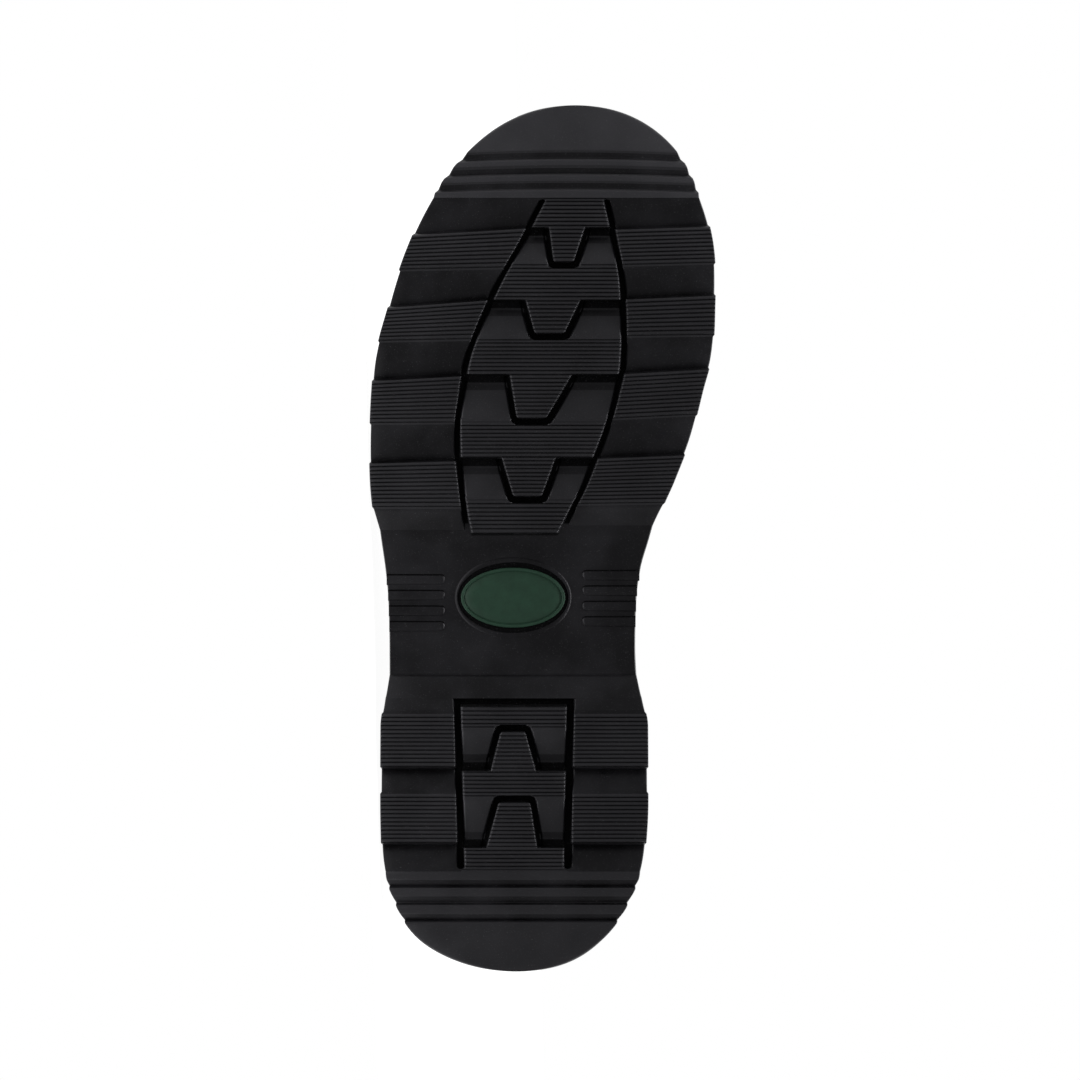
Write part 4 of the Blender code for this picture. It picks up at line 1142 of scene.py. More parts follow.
def heel_side():
    """The heel's sawtooth runs the other way: a wall behind each band, then a slope up to the next."""
    first = BREAST_BACK_X + JOINT_LAP
    rows = [Row(first, first, breast_depth(first) + JOINT_SINK, SLOPE_INSET)]
    for band in HEEL_SIDE_BANDS:
        ahead, foot = band.front + WALL_DRAFT, band.back - WALL_DRAFT
        rows.append(Row(ahead, ahead, RIB_DEPTH, SLOPE_INSET))
        rows += ribbed((band.front, band.front), (band.back, band.back))
        rows.append(Row(foot, foot, SLOPE_DEPTH, SLOPE_INSET))
    end = HEEL_BLOCK_X - JOINT_LAP
    for x in round_places(GROOVE_HEEL_X, GROOVE / 2, 1)[::-1]:
        depth = mix(JOINT_SINK, SLOPE_DEPTH, (x - end) / (foot - end))
        rows.append(Row(x, x, depth, SLOPE_INSET))
    rows.append(Row(end, end, JOINT_SINK, SLOPE_INSET))
    return joined(rows)


def breast():
    depth, foot = floor_depth(BREAST_FRONT_X), BREAST_FRONT_X + BREAST_LIP / 2
    return joined(
        [
            Row(foot, foot, depth + BREAST_LIP, BASE_INSET),
            Row(BREAST_FRONT_X, BREAST_FRONT_X, depth - BREAST_LIP, BASE_INSET),
            Row(BREAST_BACK_X, BREAST_BACK_X, breast_depth(BREAST_BACK_X), SLOPE_INSET),
        ]
    )


def ridge_share(x, ridges):
    """Depth of the soft ridges as a share, at a station."""
    lows = [(x - place) / ridges.run if x > place else (place - x) / ridges.rise for place in ridges.places]
    return max(max(1 - low, 0.0) ** ridges.power for low in lows)


def end_block(ridges, start, tip, radius):
    """A full-width end of the sole: soft ridges across it, then a smooth round tip."""
    away = 1 if tip > start else -1
    last = max(ridges.places) + ridges.run if away > 0 else min(ridges.places)
    ridges_end = last + away * (ridges.rise + RIDGE_REST)
    places = evenly(start, ridges_end, round(abs(ridges_end - start) / RIDGE_ROW))[:-1]
    shares = evenly(rounded_end(abs(tip - ridges_end), radius), 0.0, TIP_ROWS)
    places += [tip - away * end_distance(share, radius) for share in shares]
    rows = []
    for x in places:
        groove = ridge_share(x, ridges)
        near_start = max(0.0, 1 - abs(x - start) / RIDGE_FADE)
        near_tip = max(0.0, (x - ridges_end) / (tip - ridges_end))
        inset = RIDGE_NOTCH * groove + SLOPE_INSET * near_start
        bow = ridges.bow * (1 - near_start) * (1 - near_tip) ** 2
        depth = ridges.depth * groove
        on_tip = (x - last) * away > 0
        # Deeper rows take a darker finish: painted shade in the grooves between the ridges
        coat = next(coat for least, coat in ridges.coats if depth >= least)
        rows.append(Row(x - bow, x - bow, depth, inset, bow, ridges.coats[-1][1] if on_tip else coat))
    return rows


# Middle panels

TeeLines = namedtuple("TeeLines", "side moat tooth edges shores")


def corner_line(root, tip, root_y, tip_y, inward, radius):
    """An edge from a root to a tip, rounded in at the tip."""
    line = [(root, root_y)]
    for back, turn in CORNER_TURN:
        place = tip - radius * back
        along = (place - root) / (tip - root)
        line.append((place, mix(root_y, tip_y, along) + inward * radius * turn))
    return line


def tee_lines(runs):
    """Depths of the three lanes of a panel, and the edges of its teeth and of the moats round them."""
    side, moat, tooth = [], [], []
    edges, shores = {LATERAL: [], MEDIAL: []}, {LATERAL: [], MEDIAL: []}
    for tee in runs:
        foot, end = tee.root + WALL_DRAFT, tee.tip + TIP_GAP
        side += [(tee.start, 0.0), (tee.root, 0.0), (foot, TRENCH_LEDGE)]
        if tee.tip > tee.root:
            side.append((tee.root + TRENCH_RUN, SLOPE_DEPTH))
        moat += [(tee.root, 0.0), (foot, MOAT_DEPTH)]
        if tee.tip == tee.root:
            tooth += [(tee.root, 0.0), (foot, MOAT_DEPTH)]
            continue
        far = [(end, MOAT_DEPTH), (end + TOOTH_DRAFT, 0.0)]
        moat += far
        tooth += [(tee.tip, 0.0), (tee.tip + TOOTH_DRAFT, MOAT_DEPTH), *far]
        sides = (LATERAL, tee.root_lateral, tee.tip_lateral), (MEDIAL, tee.root_medial, tee.tip_medial)
        for sign, root_y, tip_y in sides:
            edges[sign] += corner_line(tee.root, tee.tip, root_y, tip_y, -sign, TOOTH_CORNER)
            out = sign * TOOTH_GAP
            shores[sign] += corner_line(tee.root, end, root_y + out, tip_y + out, -sign, MOAT_CORNER)
    return TeeLines(
        straight(side),
        straight(moat),
        straight(tooth),
        {sign: straight(line) for sign, line in edges.items()},
        {sign: straight(line) for sign, line in shores.items()},
    )


def tee_places(runs, lead, round_end):
    """Stations along a panel: its lead, its groove ends, its ribs, and every turn of its lanes."""
    places = {lead, *round_end}
    for tee in runs:
        count = rib_count(tee.tip - tee.start)
        ribs = [(i + step) / count for i in range(count) for step, _ in RIB_STEPS]
        places |= {mix(tee.start, tee.tip, share) for share in ribs}
        end, foot = tee.tip + TIP_GAP, tee.root + WALL_DRAFT
        places |= {tee.root, foot, tee.tip}
        places |= {mix(foot, tee.tip, i / SLOPE_ROWS) for i in range(SLOPE_ROWS)}
        if tee.tip > tee.root:
            places |= {tee.root + TRENCH_SHADE_REACH, tee.root + TRENCH_RUN, tee.root + TRENCH_DIM_REACH}
            places |= {tee.tip + TOOTH_DRAFT, end, end + TOOTH_DRAFT}
            places |= {tee.tip - TOOTH_CORNER * back for back, _ in CORNER_TURN}
            places |= {end - MOAT_CORNER * back for back, _ in CORNER_TURN}
    return sorted(places)


def tee_panel(form, tees, direction, lead, end, walls):
    """A middle panel of linked lugs: bands across it, and teeth in moats that run into the next band.

    Places along it are counted in the direction that the teeth point.
    """
    runs = [
        tee._replace(start=direction * tee.start, root=direction * tee.root, tip=direction * tee.tip)
        for tee in tees
    ]
    lines = tee_lines(runs)
    rib_at = straight([*RIB_STEPS, (1.0, 1.0)])

    def rib_step(place):
        """Place within one rib, as a share of its pitch."""
        for tee in runs:
            if tee.start <= place <= tee.tip:
                position = (place - tee.start) / (tee.tip - tee.start) * rib_count(tee.tip - tee.start)
                return (position + TINY) % 1.0
        return None

    def level(line, place):
        depth, step = line(place), rib_step(place)
        if depth > JOINT_SINK:
            return depth
        if step is None:
            return depth + (JOINT_SINK if place < runs[0].start else 0.0)
        return depth + RIB_DEPTH * rib_at(step)

    def lane_coats(place, moat, tooth):
        """Finishes of the three lanes at a place: ribbed lugs; slopes painted near black as shade behind each
        band, then plain, then pale as painted light; and moats painted near black as shade.
        """
        ribs = rib_coat(rib_step(place) or 0.0)
        on_band = any(tee.start <= place < tee.root for tee in runs)
        behind = min((place - tee.root for tee in runs if place >= tee.root), default=TRENCH_DIM_REACH)
        slope = PAINTED_SHADE if behind < TRENCH_SHADE_REACH else MOULDED if behind < TRENCH_DIM_REACH else RUBBED_AND_LIT
        inner = [PAINTED_SHADE if depth > RIB_DEPTH else ribs for depth in (moat, tooth)]
        return [ribs if on_band else slope, *inner]

    rings, coats = [], []
    round_end = [direction * x for x in round_places(end, GROOVE / 2, direction)]
    for place in tee_places(runs, direction * lead, round_end):
        x = direction * place
        ground = tread_z(x)
        side, moat, tooth = (level(line, place) for line in (lines.side, lines.moat, lines.tooth))
        fall, rise = min(EDGE_ROUND, max(moat - side, 0.0)), min(EDGE_ROUND, max(moat - tooth, 0.0))
        ring = []
        for sign in (LATERAL, MEDIAL):
            wall = walls[sign]
            edge, soft = wall.y(x, 0.0), wall.soft(x)
            shore = max(-sign * (lines.shores[sign](place) - edge), soft + EDGE_ROUND + TOOTH_DRAFT)
            bank = max(-sign * (lines.edges[sign](place) - edge), shore + 3 * TOOTH_DRAFT)
            half = [(-WALL_DRAFT / 2, floor_depth(x) + FLOOR_SINK)]
            half += soft_edge(0.0, soft, side, soft)
            half += soft_edge(shore, -EDGE_ROUND, side, fall)[::-1]
            half += [(shore + TOOTH_DRAFT, moat), (bank - TOOTH_DRAFT, moat)]
            half += soft_edge(bank, EDGE_ROUND, tooth, rise)
            points = [(x, edge - sign * across, ground + depth) for across, depth in half]
            ring += points if sign == LATERAL else points[::-1]
        rings.append(ring)
        coats.append(lane_coats(place, moat, tooth))
    last_column, first_bank = len(rings[0]) - 1, len(half) - len(SOFT_TURN)

    def coat(row, column):
        from_edge = min(column, last_column - 1 - column)
        lane = (from_edge >= first_bank - 2) + (from_edge >= first_bank)
        return coats[row][lane]

    form.loft(rings, coat)


# Outsole


def sole_body(form):
    """The body of the sole: floor of the tread, painted near black as shade outside the waist, side wall with
    a fine line round it, and top face.
    """
    rings = []
    places = stations(BASE_INSET)
    for x in places:
        mid, half = rim(x, BASE_INSET)
        levels = floor_z(x), mix(side_z(x), top_z(x), SIDE_LINE_SHARE), top_z(x)
        reaches = [(FLOOR_REACH * half, levels[FLOOR])]
        reaches += [(half - min(line.inset, half), levels[line.level] + line.lift) for line in SOLE_WALL]
        lateral = [(x, mid - reach, z) for reach, z in reaches]
        medial = [(x, mid + reach, z) for reach, z in reaches]
        rings.append(lateral + medial[::-1])
    width = len(rings[0])
    floor_columns = (0, width - 2, width - 1)

    def coat(row, column):
        in_waist = BREAST_BACK_X < places[row] < LATERAL_SLOPE_END
        return PAINTED_SHADE if column in floor_columns and not in_waist else MOULDED

    form.loft(rings, coat)


def waist_bars(form):
    """Low bars from the edges of the waist towards the badge, each with its steep side to the toe painted
    near black as shade.
    """
    for bars in WAIST_BARS:
        for i in range(BAR_COUNT):
            x = bars.first_x - i * bars.pitch
            outer = edge_y(bars.side, x, BASE_INSET)
            spine = [(y, 1.0, 1.0) for y in evenly(outer, bars.end_y, BAR_ROWS)[:-1]]
            for k in range(BAR_ROWS):
                turn = math.pi / 2 * k / BAR_ROWS
                past = BAR_HALF * math.sin(turn)
                rise = min((BAR_HALF - past) / BAR_END_RUN, 1.0)
                spine.append((bars.end_y - bars.side * past, math.cos(turn), rise))
            rings = []
            for y, size, rise in spine:
                ring = []
                for line in BAR_SECTION:
                    place = x + BAR_HALF * size * line.across
                    lift = mix(-BAR_ROOT, BAR_HEIGHT * rise, line.up)
                    ring.append((place, y, floor_z(place) - lift))
                rings.append(ring)
            form.loft(rings, lambda row, column: BAR_SECTION[column].coat)


def badge_rings(lines, end_share=1.0):
    """Ovals that lie on the floor of the waist, from pairs of inset and height above it.

    The end share is the part of the inset that is taken at the oval's ends.
    """
    turns = [math.tau * i / BADGE_STEPS for i in range(BADGE_STEPS)]
    rings = []
    for inset, height in lines:
        a, b = BADGE_LENGTH / 2 - inset * end_share, BADGE_WIDTH / 2 - inset
        spots = [(BADGE_X + b * math.cos(turn), BADGE_Y + a * math.sin(turn)) for turn in turns]
        rings.append([(x, y, floor_z(x) - height) for x, y in spots])
    return rings


def badge_seat(form):
    """The raised lip round the badge, and the moat between them, painted near black as shade."""
    form.ring(badge_rings(SEAT_LIP, SEAT_END_SHARE))
    form.ring(badge_rings(SEAT_MOAT, SEAT_END_SHARE), lambda row, column: PAINTED_SHADE)


def outsole(finishes):
    """The moulded sole: body, side lugs, both ends, middle panels, waist bars and the badge's seat."""
    form = Form()
    sole_body(form)

    def to_toe(x):
        return GROOVE_TOE_X - x

    def to_heel(x):
        return x - GROOVE_HEEL_X

    walls = {}
    for side, middle in ((LATERAL, groove_lateral), (MEDIAL, groove_medial)):
        heel = HEEL_GROOVES[side]
        heel_middle = straight([(GROOVE_HEEL_X, heel.back_y), (BREAST_BACK_X, heel.front_y)])
        walls[side] = Walls(
            groove_wall(middle, to_toe, GROOVE / 2, side),
            groove_wall(middle, to_toe, GROOVE / 2, -side),
            groove_wall(heel_middle, to_heel, heel.half, side),
            groove_wall(heel_middle, to_heel, heel.half, -side),
        )
    lateral, medial = walls[LATERAL], walls[MEDIAL]
    tread_block(form, forefoot_side(LATERAL_LUGS, LATERAL_SLOPE_END, True), LATERAL_EDGE, lateral.strip)
    tread_block(form, forefoot_side(MEDIAL_LUGS, MEDIAL_SLOPE_END, False), medial.strip, MEDIAL_EDGE)
    tread_block(form, heel_side(), LATERAL_EDGE, lateral.heel_strip)
    tread_block(form, heel_side(), medial.heel_strip, MEDIAL_EDGE)
    tread_block(form, breast(), LATERAL_EDGE, MEDIAL_EDGE)
    toe_rows = end_block(TOE_RIDGES, TOE_SLOPE_X - JOINT_LAP, LENGTH, TOE_ROUND)
    tread_block(form, toe_rows, LATERAL_EDGE, MEDIAL_EDGE)
    heel_rows = end_block(HEEL_RIDGES, HEEL_BLOCK_X, 0.0, HEEL_ROUND)
    tread_block(form, heel_rows, LATERAL_EDGE, MEDIAL_EDGE)
    forefoot_walls = {side: both.panel for side, both in walls.items()}
    tee_panel(form, FOREFOOT_TEES, -1, TOE_SLOPE_X, GROOVE_TOE_X, forefoot_walls)
    heel_walls = {side: both.heel_panel for side, both in walls.items()}
    tee_panel(form, HEEL_TEES, 1, HEEL_BLOCK_X - JOINT_LAP, GROOVE_HEEL_X, heel_walls)
    waist_bars(form)
    badge_seat(form)
    form.piece("outsole_rubber", finishes, ["outsole"])


def badge(finish):
    """A bare oval plate with a raised rim, a fine groove inside it and a slightly crowned face."""
    first = BADGE_EDGE[-1].inset
    face = [
        BadgeRing(mix(first, BADGE_WIDTH / 2, share), BADGE_FACE + BADGE_CROWN * share)
        for share in BADGE_CROWN_SHARES
    ]
    form = Form()
    form.loft(badge_rings(BADGE_EDGE + face))
    form.piece("badge_plate", [finish], ["badge"])


# Stitches


def stitch(form, start, end, normal, radius):
    """One stitch, sunk a little at both ends."""
    along = (end - start).normalized()
    across = normal.cross(along).normalized()
    turns = [math.tau * k / STITCH_SIDES for k in range(STITCH_SIDES)]
    spokes = [across * math.cos(turn) + normal * math.sin(turn) for turn in turns]
    rings = []
    for ring in STITCH_RINGS:
        centre = start.lerp(end, ring.share) + normal * radius * ring.lift
        rings.append([centre + spoke * radius * ring.size for spoke in spokes])
    form.loft(rings)


def stitch_run(form, places, thread):
    """Stitches spread evenly along a line of points and normals."""
    lengths = run_lengths([point for point, _ in places])

    def at(distance):
        k, share = stretch_at(lengths, distance)
        (a, a_normal), (b, b_normal) = places[k : k + 2]
        return a.lerp(b, share), a_normal.lerp(b_normal, share).normalized()

    room = lengths[-1] - thread.length
    for distance in evenly(0.0, room, round(room / thread.pitch)):
        start, normal = at(distance)
        end, _ = at(distance + thread.length)
        stitch(form, start, end, normal, thread.radius)


# Welt, insole and upper


def welt(finish, thread):
    """A leather strip round the upper's foot on the rim of the sole, sewn with thick thread."""
    shares = [(x - WELT_OUTER) / (LENGTH - 2 * WELT_OUTER) for x in stations(WELT_OUTER)]
    path = [(share, LATERAL) for share in shares] + [(share, MEDIAL) for share in shares[-2:0:-1]]

    def point(share, side, line):
        x = mix(line.inset, LENGTH - line.inset, share)
        return Vector((x, edge_y(side, x, line.inset), top_z(x) + SEAT_GAP + line.lift))

    strip = Form()
    strip.ring([[point(share, side, line) for line in WELT_SECTION] for share, side in path])
    strip.piece("welt_strip", [finish], ["welt"])
    sewn = [(point(share, side, WELT_STITCH), Vector((0, 0, 1))) for share, side in path]
    stitches = Form()
    stitch_run(stitches, [*sewn, sewn[0]], WELT_THREAD)
    stitches.piece("welt_stitches", [thread])


def insole(finish):
    """A pad inside the upper, with a rounded upper edge."""
    rings = []
    for x in stations(INSOLE_INSET):
        low = top_z(x) + SEAT_GAP
        high = low + INSOLE_THICKNESS
        mid, half = rim(x, INSOLE_INSET)
        soft = min(INSOLE_ROUND, half)
        turn = soft * INSOLE_TURN
        outline = [(half, low), (half, high - soft), (half - turn, high - turn), (half - soft, high)]
        rings.append([(x, mid - y, z) for y, z in outline] + [(x, mid + y, z) for y, z in outline[::-1]])
    form = Form()
    form.loft(rings)
    form.piece("insole_pad", [finish], ["insole"])


def collar_sink(share):
    """Depth of the collar at a share of its height: a crease, a soft pad, and a rounded top edge."""
    puff = math.sin(math.pi * min(share * PUFF_PACE, 1.0)) ** PUFF_POWER
    crease = min(share / CREASE_SHARE, 1.0)
    edge = max(0.0, (share - COLLAR_EDGE_SHARE) / (1 - COLLAR_EDGE_SHARE)) ** COLLAR_EDGE_POWER
    return COLLAR_CREASE * (1 - crease) + COLLAR_HOLLOW * (1 - puff) * crease + COLLAR_EDGE_DROP * edge


def skin_rows(share, side):
    """Rows of the skin at one share of the girth, with how far each is sunk below the upper's full form."""
    seam, collar = vamp_row(share, side), collar_row(share, side)
    rows = [(row, SKIN_SINK + VAMP_STEPS[0].sink) for row in evenly(0.0, seam, VAMP_ROWS)]
    rows += [(seam + step.row, SKIN_SINK + step.sink) for step in VAMP_STEPS[1:]]
    start = seam + VAMP_STEPS[-1].row
    stay = STAY_LIFT if share <= STAY_SHARE else 0.0
    for i in range(1, QUARTER_ROWS):
        row = mix(start, collar, (i / QUARTER_ROWS) ** QUARTER_CROWDING)
        rows.append((row, SKIN_SINK - stay if row > SEAT_ROW else SKIN_SINK))
    for height in evenly(0.0, 1.0, COLLAR_ROWS):
        rows.append((mix(collar, LAST_ROW, height), SKIN_SINK + collar_sink(height)))
    return rows


def upper(finish, lining):
    """The sewn leather skin: vamp under the quarters, and a soft collar, with a lining inside."""
    form = Form()
    shares = [(k / SKIN_COLUMNS) ** COLUMN_CROWDING for k in range(SKIN_COLUMNS + 1)]
    shares = sorted([*shares, STAY_SHARE, STAY_EDGE_SHARE])
    for side, _ in SIDES:
        columns = []
        for share in shares:
            columns.append([skin_point(row, share, side, -sink)[0] for row, sink in skin_rows(share, side)])
        form.grid(columns if side == MEDIAL else columns[::-1])
    skin = form.piece("upper_leather", [finish, lining], ["upper"], sharp=60.0, outward=False)
    wall = skin.modifiers.new("wall", "SOLIDIFY")
    wall.thickness = WALL * MM
    wall.offset = -1
    wall.material_offset = 1


def upper_stitches(thread):
    """Twin rows behind the vamp seam, and one row each at the throat, the collar and the back strip."""
    lines = []
    for side, _ in SIDES:
        for back in VAMP_STITCH_BACKS:
            shares = evenly(*VAMP_STITCH_SHARES, STITCH_GUIDES)
            rows = [vamp_row(share, side, back) for share in shares]
            lines.append([skin_point(row, share, side, -SKIN_SINK) for row, share in zip(rows, shares)])
        rows = evenly(*THROAT_STITCH_ROWS, STITCH_GUIDES)
        widths = [side * (throat_half(row) + THROAT_STITCH_SETBACK) for row in rows]
        lines.append([over_last(row, width, -SKIN_SINK) for row, width in zip(rows, widths)])
        crowded = [share**COLUMN_CROWDING for share in evenly(0.0, 1.0, STITCH_GUIDES)]
        shares = [mix(*COLLAR_STITCH_SHARES, share) for share in crowded]
        rows = [collar_row(share, side, COLLAR_STITCH_DROP) for share in shares]
        lines.append([skin_point(row, share, side, -SKIN_SINK) for row, share in zip(rows, shares)])
        end = collar_row(STAY_STITCH_SHARE, side, STAY_STITCH_DROP)
        rows = evenly(STAY_STITCH_ROW, end, STITCH_GUIDES)
        lines.append([skin_point(row, STAY_STITCH_SHARE, side, STAY_LIFT - SKIN_SINK) for row in rows])
    form = Form()
    for line in lines:
        stitch_run(form, line, FINE_THREAD)
    form.piece("upper_stitches", [thread])


def tongue(finish):
    """A soft tongue under the lacing, thinner at its edges and round at its top."""
    before, last = SECTIONS[-2:]
    row_rise = last.top_z - before.top_z
    row_length = math.hypot(last.top_x - before.top_x, row_rise)
    end_row = LAST_ROW + TONGUE_RISE / row_rise
    straight_end = end_row - TONGUE_CORNER / row_length
    places = [(row, 0.0) for row in evenly(TONGUE_START_ROW, straight_end, TONGUE_ROWS)[:-1]]
    for i in range(TONGUE_CORNER_ROWS + 1):
        turn = math.pi / 2 * i / TONGUE_CORNER_ROWS
        places.append((mix(straight_end, end_row, math.sin(turn)), TONGUE_CORNER * (1 - math.cos(turn))))
    lift = WALL + TONGUE_GAP + TONGUE_THICKNESS / 2
    form = Form()
    rings = []
    for row, inset in places:
        share = (row - TONGUE_START_ROW) / (end_row - TONGUE_START_ROW)
        half = mix(TONGUE_HALF_LOW, TONGUE_HALF_HIGH, share) - inset
        to_end = min((end_row - row) * row_length / TONGUE_THICKNESS, 1.0)
        tip = math.sqrt(1 - (1 - to_end) ** 2)
        top, under = [], []
        for k in range(TONGUE_COLUMNS + 1):
            across = 2 * k / TONGUE_COLUMNS - 1
            full = math.sqrt(1 - abs(across) ** TONGUE_EDGE_POWER)
            body = TONGUE_THICKNESS / 2 * max(full * tip, TONGUE_EDGE_SHARE)
            width = half * across or TINY
            top.append(over_last(row, width, -lift + body)[0])
            under.append(over_last(row, width, -lift - body)[0])
        rings.append(top + under[::-1])
    form.loft(rings)
    form.piece("tongue_leather", [finish], ["tongue"])


# Eyelets and lace


def eyelet_places():
    """Row of each eyelet pair, even along the edge of the throat."""
    rows = evenly(EYELET_FIRST_ROW, EYELET_LAST_ROW, EYELET_GUIDES)
    lengths = run_lengths([over_last(row, -throat_half(row) - EYELET_SETBACK, 0.0)[0] for row in rows])
    places = []
    for distance in evenly(0.0, lengths[-1], EYELET_PAIRS - 1):
        k, share = stretch_at(lengths, distance)
        places.append(mix(rows[k], rows[k + 1], share))
    return places


def eyelets(finish):
    """Rolled metal rings through the wall of the upper."""
    form = Form()
    names = []
    for i, row in enumerate(eyelet_places(), start=1):
        for side, word in SIDES:
            names.append(f"eyelet_{word}_{i}")
            centre, normal = over_last(row, side * (throat_half(row) + EYELET_SETBACK), 0.0)
            turn = normal.to_track_quat("Z", "Y")
            rings = []
            for k in range(EYELET_STEPS):
                angle = math.tau * k / EYELET_STEPS
                spoke = Vector((math.cos(angle), math.sin(angle), 0.0))
                spots = [spoke * line.radius + Vector((0.0, 0.0, line.lift)) for line in EYELET_SECTION]
                rings.append([centre + turn @ spot for spot in spots])
            form.ring(rings)
    form.piece("eyelet_rings", [finish], names)


def lace_guides(side, high):
    """Guide places of one half of the lace: row, signed half width and lift at each.

    It starts in the middle of the lowest bar, goes down its eyelet, and then crosses from eyelet to eyelet:
    up through one, over the throat and under the far edge to the next.
    """
    rows = eyelet_places()
    rise = LACE_RISE if high else 0.0

    def placed(guides, row, after):
        anchors = {
            NEAR_EYELET: throat_half(row) + EYELET_SETBACK,
            NEAR_EDGE: THROAT_HALF,
            MIDDLE: 0.0,
            FAR_EDGE: -THROAT_HALF,
            FAR_EYELET: -throat_half(after) - EYELET_SETBACK,
        }
        made = []
        for guide in guides:
            width = side * (anchors[guide.anchor] - guide.inward)
            made.append((mix(row, after, guide.along), width, guide.lift + guide.rise * rise))
        return made

    way = placed(LACE_BAR, rows[0], rows[0])
    for i, (row, after) in enumerate(zip(rows, rows[1:])):
        way += placed((LACE_LATER_START if i else LACE_FIRST_START) + LACE_CROSSING, row, after)
        side = -side
    return way + placed(LACE_END, rows[-1], rows[-1])


def curve_through(points):
    """A smooth curve through guide points."""
    made = []
    for i in range(len(points) - 1):
        p0, p1, p2, p3 = (points[min(max(k, 0), len(points) - 1)] for k in (i - 1, i, i + 1, i + 2))
        for k in range(LACE_SAMPLES):
            u = k / LACE_SAMPLES
            made.append(
                p1
                + (p2 - p0) * (u / 2)
                + (2 * p0 - 5 * p1 + 4 * p2 - p3) * (u * u / 2)
                + (3 * p1 - p0 - 3 * p2 + p3) * (u**3 / 2)
            )
    return [*made, points[-1]]


def lace(finish):
    """One flat woven lace through all the eyelets, ending in the top pair."""
    path, normals = [], []
    for side, high in ((LATERAL, True), (MEDIAL, False)):
        guides = [over_last(row, width or TINY, lift) for row, width, lift in lace_guides(side, high)]
        path = path[:0:-1] + curve_through([point for point, _ in guides])
        normals = normals[:0:-1] + curve_through([normal for _, normal in guides])
    rings = []
    for i, (point, normal) in enumerate(zip(path, normals)):
        along = (path[min(i + 1, len(path) - 1)] - path[max(i - 1, 0)]).normalized()
        across = along.cross(normal)
        if across.length <= LACE_STEEP:
            across = Vector((0.0, 1.0, 0.0)).cross(along)
        across.normalize()
        lift = across.cross(along).normalized()
        ring = []
        for k in range(LACE_SIDES):
            turn = math.tau * k / LACE_SIDES
            wide = math.copysign(abs(math.cos(turn)) ** LACE_POWER, math.cos(turn)) * LACE_HALF_WIDTH
            ring.append(point + across * wide + lift * math.sin(turn) * LACE_HALF_HEIGHT)
        rings.append(ring)
    form = Form()
    form.loft(rings)
    nodes = ["lace_bar"] + [f"lace_cross_{i}" for i in range(1, EYELET_PAIRS)]
    form.piece("lace_cord", [finish], nodes, sharp=70.0)


# Stage, light and camera

FRAME_WIDTH = 378.2
CAMERA_DISTANCE, CLIP_END = 5000.0, 100.0
PHOTO_CENTRE = Vector((151.3, 9.0, 0.0))
SENSOR = 36.0
FLOOR_LOW, FLOOR_HIGH = (-0.7, -0.135), (0.7, 1.2)
FLOOR_GLOW, FLOOR_GREY, FLOOR_ROUGH, FLOOR_SPECULAR = 0.95, (0.3, 0.3, 0.3, 1.0), 0.9, 0.1
WHITE = (1.0, 1.0, 1.0, 1.0)
BRIGHT_SIDE = (0.03, 0.9, 0.06)
SKY_DARK, SKY_BRIGHT = (-0.55, 0.37), (0.35, 1.0)

# Lights in world metres, where the toe points to -X and the sole faces -Y
Light = namedtuple("Light", "name place aim power size spread")
LIGHTS = [
    Light("outer_strip", (-0.08, -0.115, 0.004), (-0.08, -0.115, 1.0), 0.06, (0.5, 0.03), 125.0),
    Light("inner_strip", (-0.01, -0.115, 0.19), (-0.01, -0.115, -1.0), 0.18, (0.5, 0.03), 125.0),
    Light("softbox", (-0.2, 0.5, 0.9), (0.0, 0.0, 0.05), 5.0, (0.8, 0.5), 180.0),
]


def floor():
    """A pale floor round the boot, as white as the studio behind it."""
    (x0, y0), (x1, y1) = FLOOR_LOW, FLOOR_HIGH
    mesh = bpy.data.meshes.new("floor")
    mesh.from_pydata([(x0, y0, 0.0), (x1, y0, 0.0), (x1, y1, 0.0), (x0, y1, 0.0)], [], [(0, 1, 2, 3)])
    finish = Finish("pale_floor")
    finish.set(base_color=FLOOR_GREY, roughness=FLOOR_ROUGH, specular_ior_level=FLOOR_SPECULAR)
    finish.set(emission_color=WHITE, emission_strength=FLOOR_GLOW)
    mesh.materials.append(finish.material)
    obj = bpy.data.objects.new("floor", mesh)
    bpy.context.scene.collection.objects.link(obj)


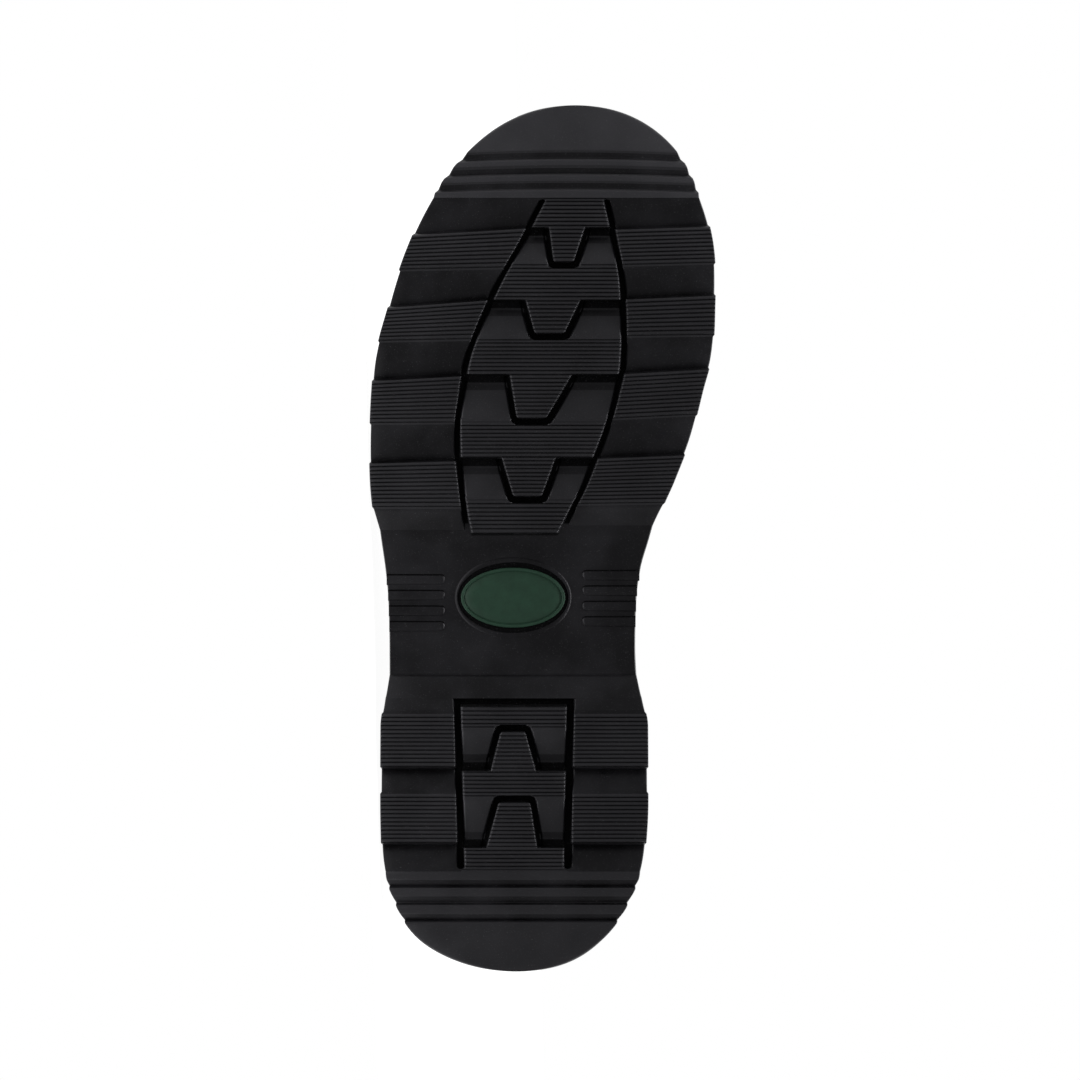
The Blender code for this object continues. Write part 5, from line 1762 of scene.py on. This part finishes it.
def world():
    """A plain white studio, bright behind the boot and dimmer before its sole."""
    made = bpy.data.worlds.new("studio")
    made.use_nodes = True
    tree = made.node_tree
    sky = tree.nodes["Background"]
    sky.inputs["Color"].default_value = WHITE
    place = tree.nodes.new("ShaderNodeTexCoord")
    facing = tree.nodes.new("ShaderNodeVectorMath")
    facing.operation = "DOT_PRODUCT"
    facing.inputs[1].default_value = BRIGHT_SIDE
    fade = tree.nodes.new("ShaderNodeMapRange")
    fade.interpolation_type = "SMOOTHSTEP"
    (from_low, dark), (from_high, bright) = SKY_DARK, SKY_BRIGHT
    for key, value in zip(("From Min", "From Max", "To Min", "To Max"), (from_low, from_high, dark, bright)):
        fade.inputs[key].default_value = value
    tree.links.new(place.outputs["Generated"], facing.inputs[0])
    tree.links.new(facing.outputs["Value"], fade.inputs["Value"])
    seen = tree.nodes.new("ShaderNodeLightPath")
    strength = tree.nodes.new("ShaderNodeMath")
    strength.operation = "MAXIMUM"
    tree.links.new(fade.outputs["Result"], strength.inputs[0])
    tree.links.new(seen.outputs["Is Camera Ray"], strength.inputs[1])
    tree.links.new(strength.outputs["Value"], sky.inputs["Strength"])
    bpy.context.scene.world = made


def area_light(light):
    data = bpy.data.lights.new(light.name, "AREA")
    data.shape = "RECTANGLE"
    data.size, data.size_y = light.size
    data.energy = light.power
    data.spread = math.radians(light.spread)
    obj = bpy.data.objects.new(light.name, data)
    obj.location = light.place
    obj.rotation_euler = (Vector(light.aim) - obj.location).to_track_quat("-Z", "Y").to_euler()
    obj.visible_camera = False
    bpy.context.scene.collection.objects.link(obj)


def camera():
    """Square to the sole, with the toe up, as in the photograph."""
    data = bpy.data.cameras.new("camera")
    data.sensor_width = SENSOR
    data.lens = CAMERA_DISTANCE * SENSOR / FRAME_WIDTH
    data.clip_end = CLIP_END
    obj = bpy.data.objects.new("camera", data)
    toe, inner, up = (BOOT.to_3x3().col[k].normalized() for k in range(3))
    turn = Matrix((inner, toe, -up)).transposed().to_4x4()
    obj.matrix_world = Matrix.Translation(BOOT @ (PHOTO_CENTRE - Vector((0, 0, CAMERA_DISTANCE)))) @ turn
    bpy.context.scene.collection.objects.link(obj)
    bpy.context.scene.camera = obj


def dress():
    thread = plain(WAXED_THREAD)
    outsole([rubber(row) for row in RUBBERS])
    badge(plain(BADGE_GREEN))
    welt(plain(WELT_LEATHER), thread)
    insole(woven(INSOLE_CLOTH))
    upper(plain(UPPER_LEATHER, UPPER_PEBBLES), woven(LINING_CLOTH))
    upper_stitches(thread)
    tongue(plain(TONGUE_LEATHER, TONGUE_PEBBLES))
    eyelets(plain(EYELET_METAL, metallic=1.0))
    lace(woven(LACE_CORD))


dress()
floor()
world()
for light in LIGHTS:
    area_light(light)
camera()
bpy.context.scene.view_settings.view_transform = "Standard"
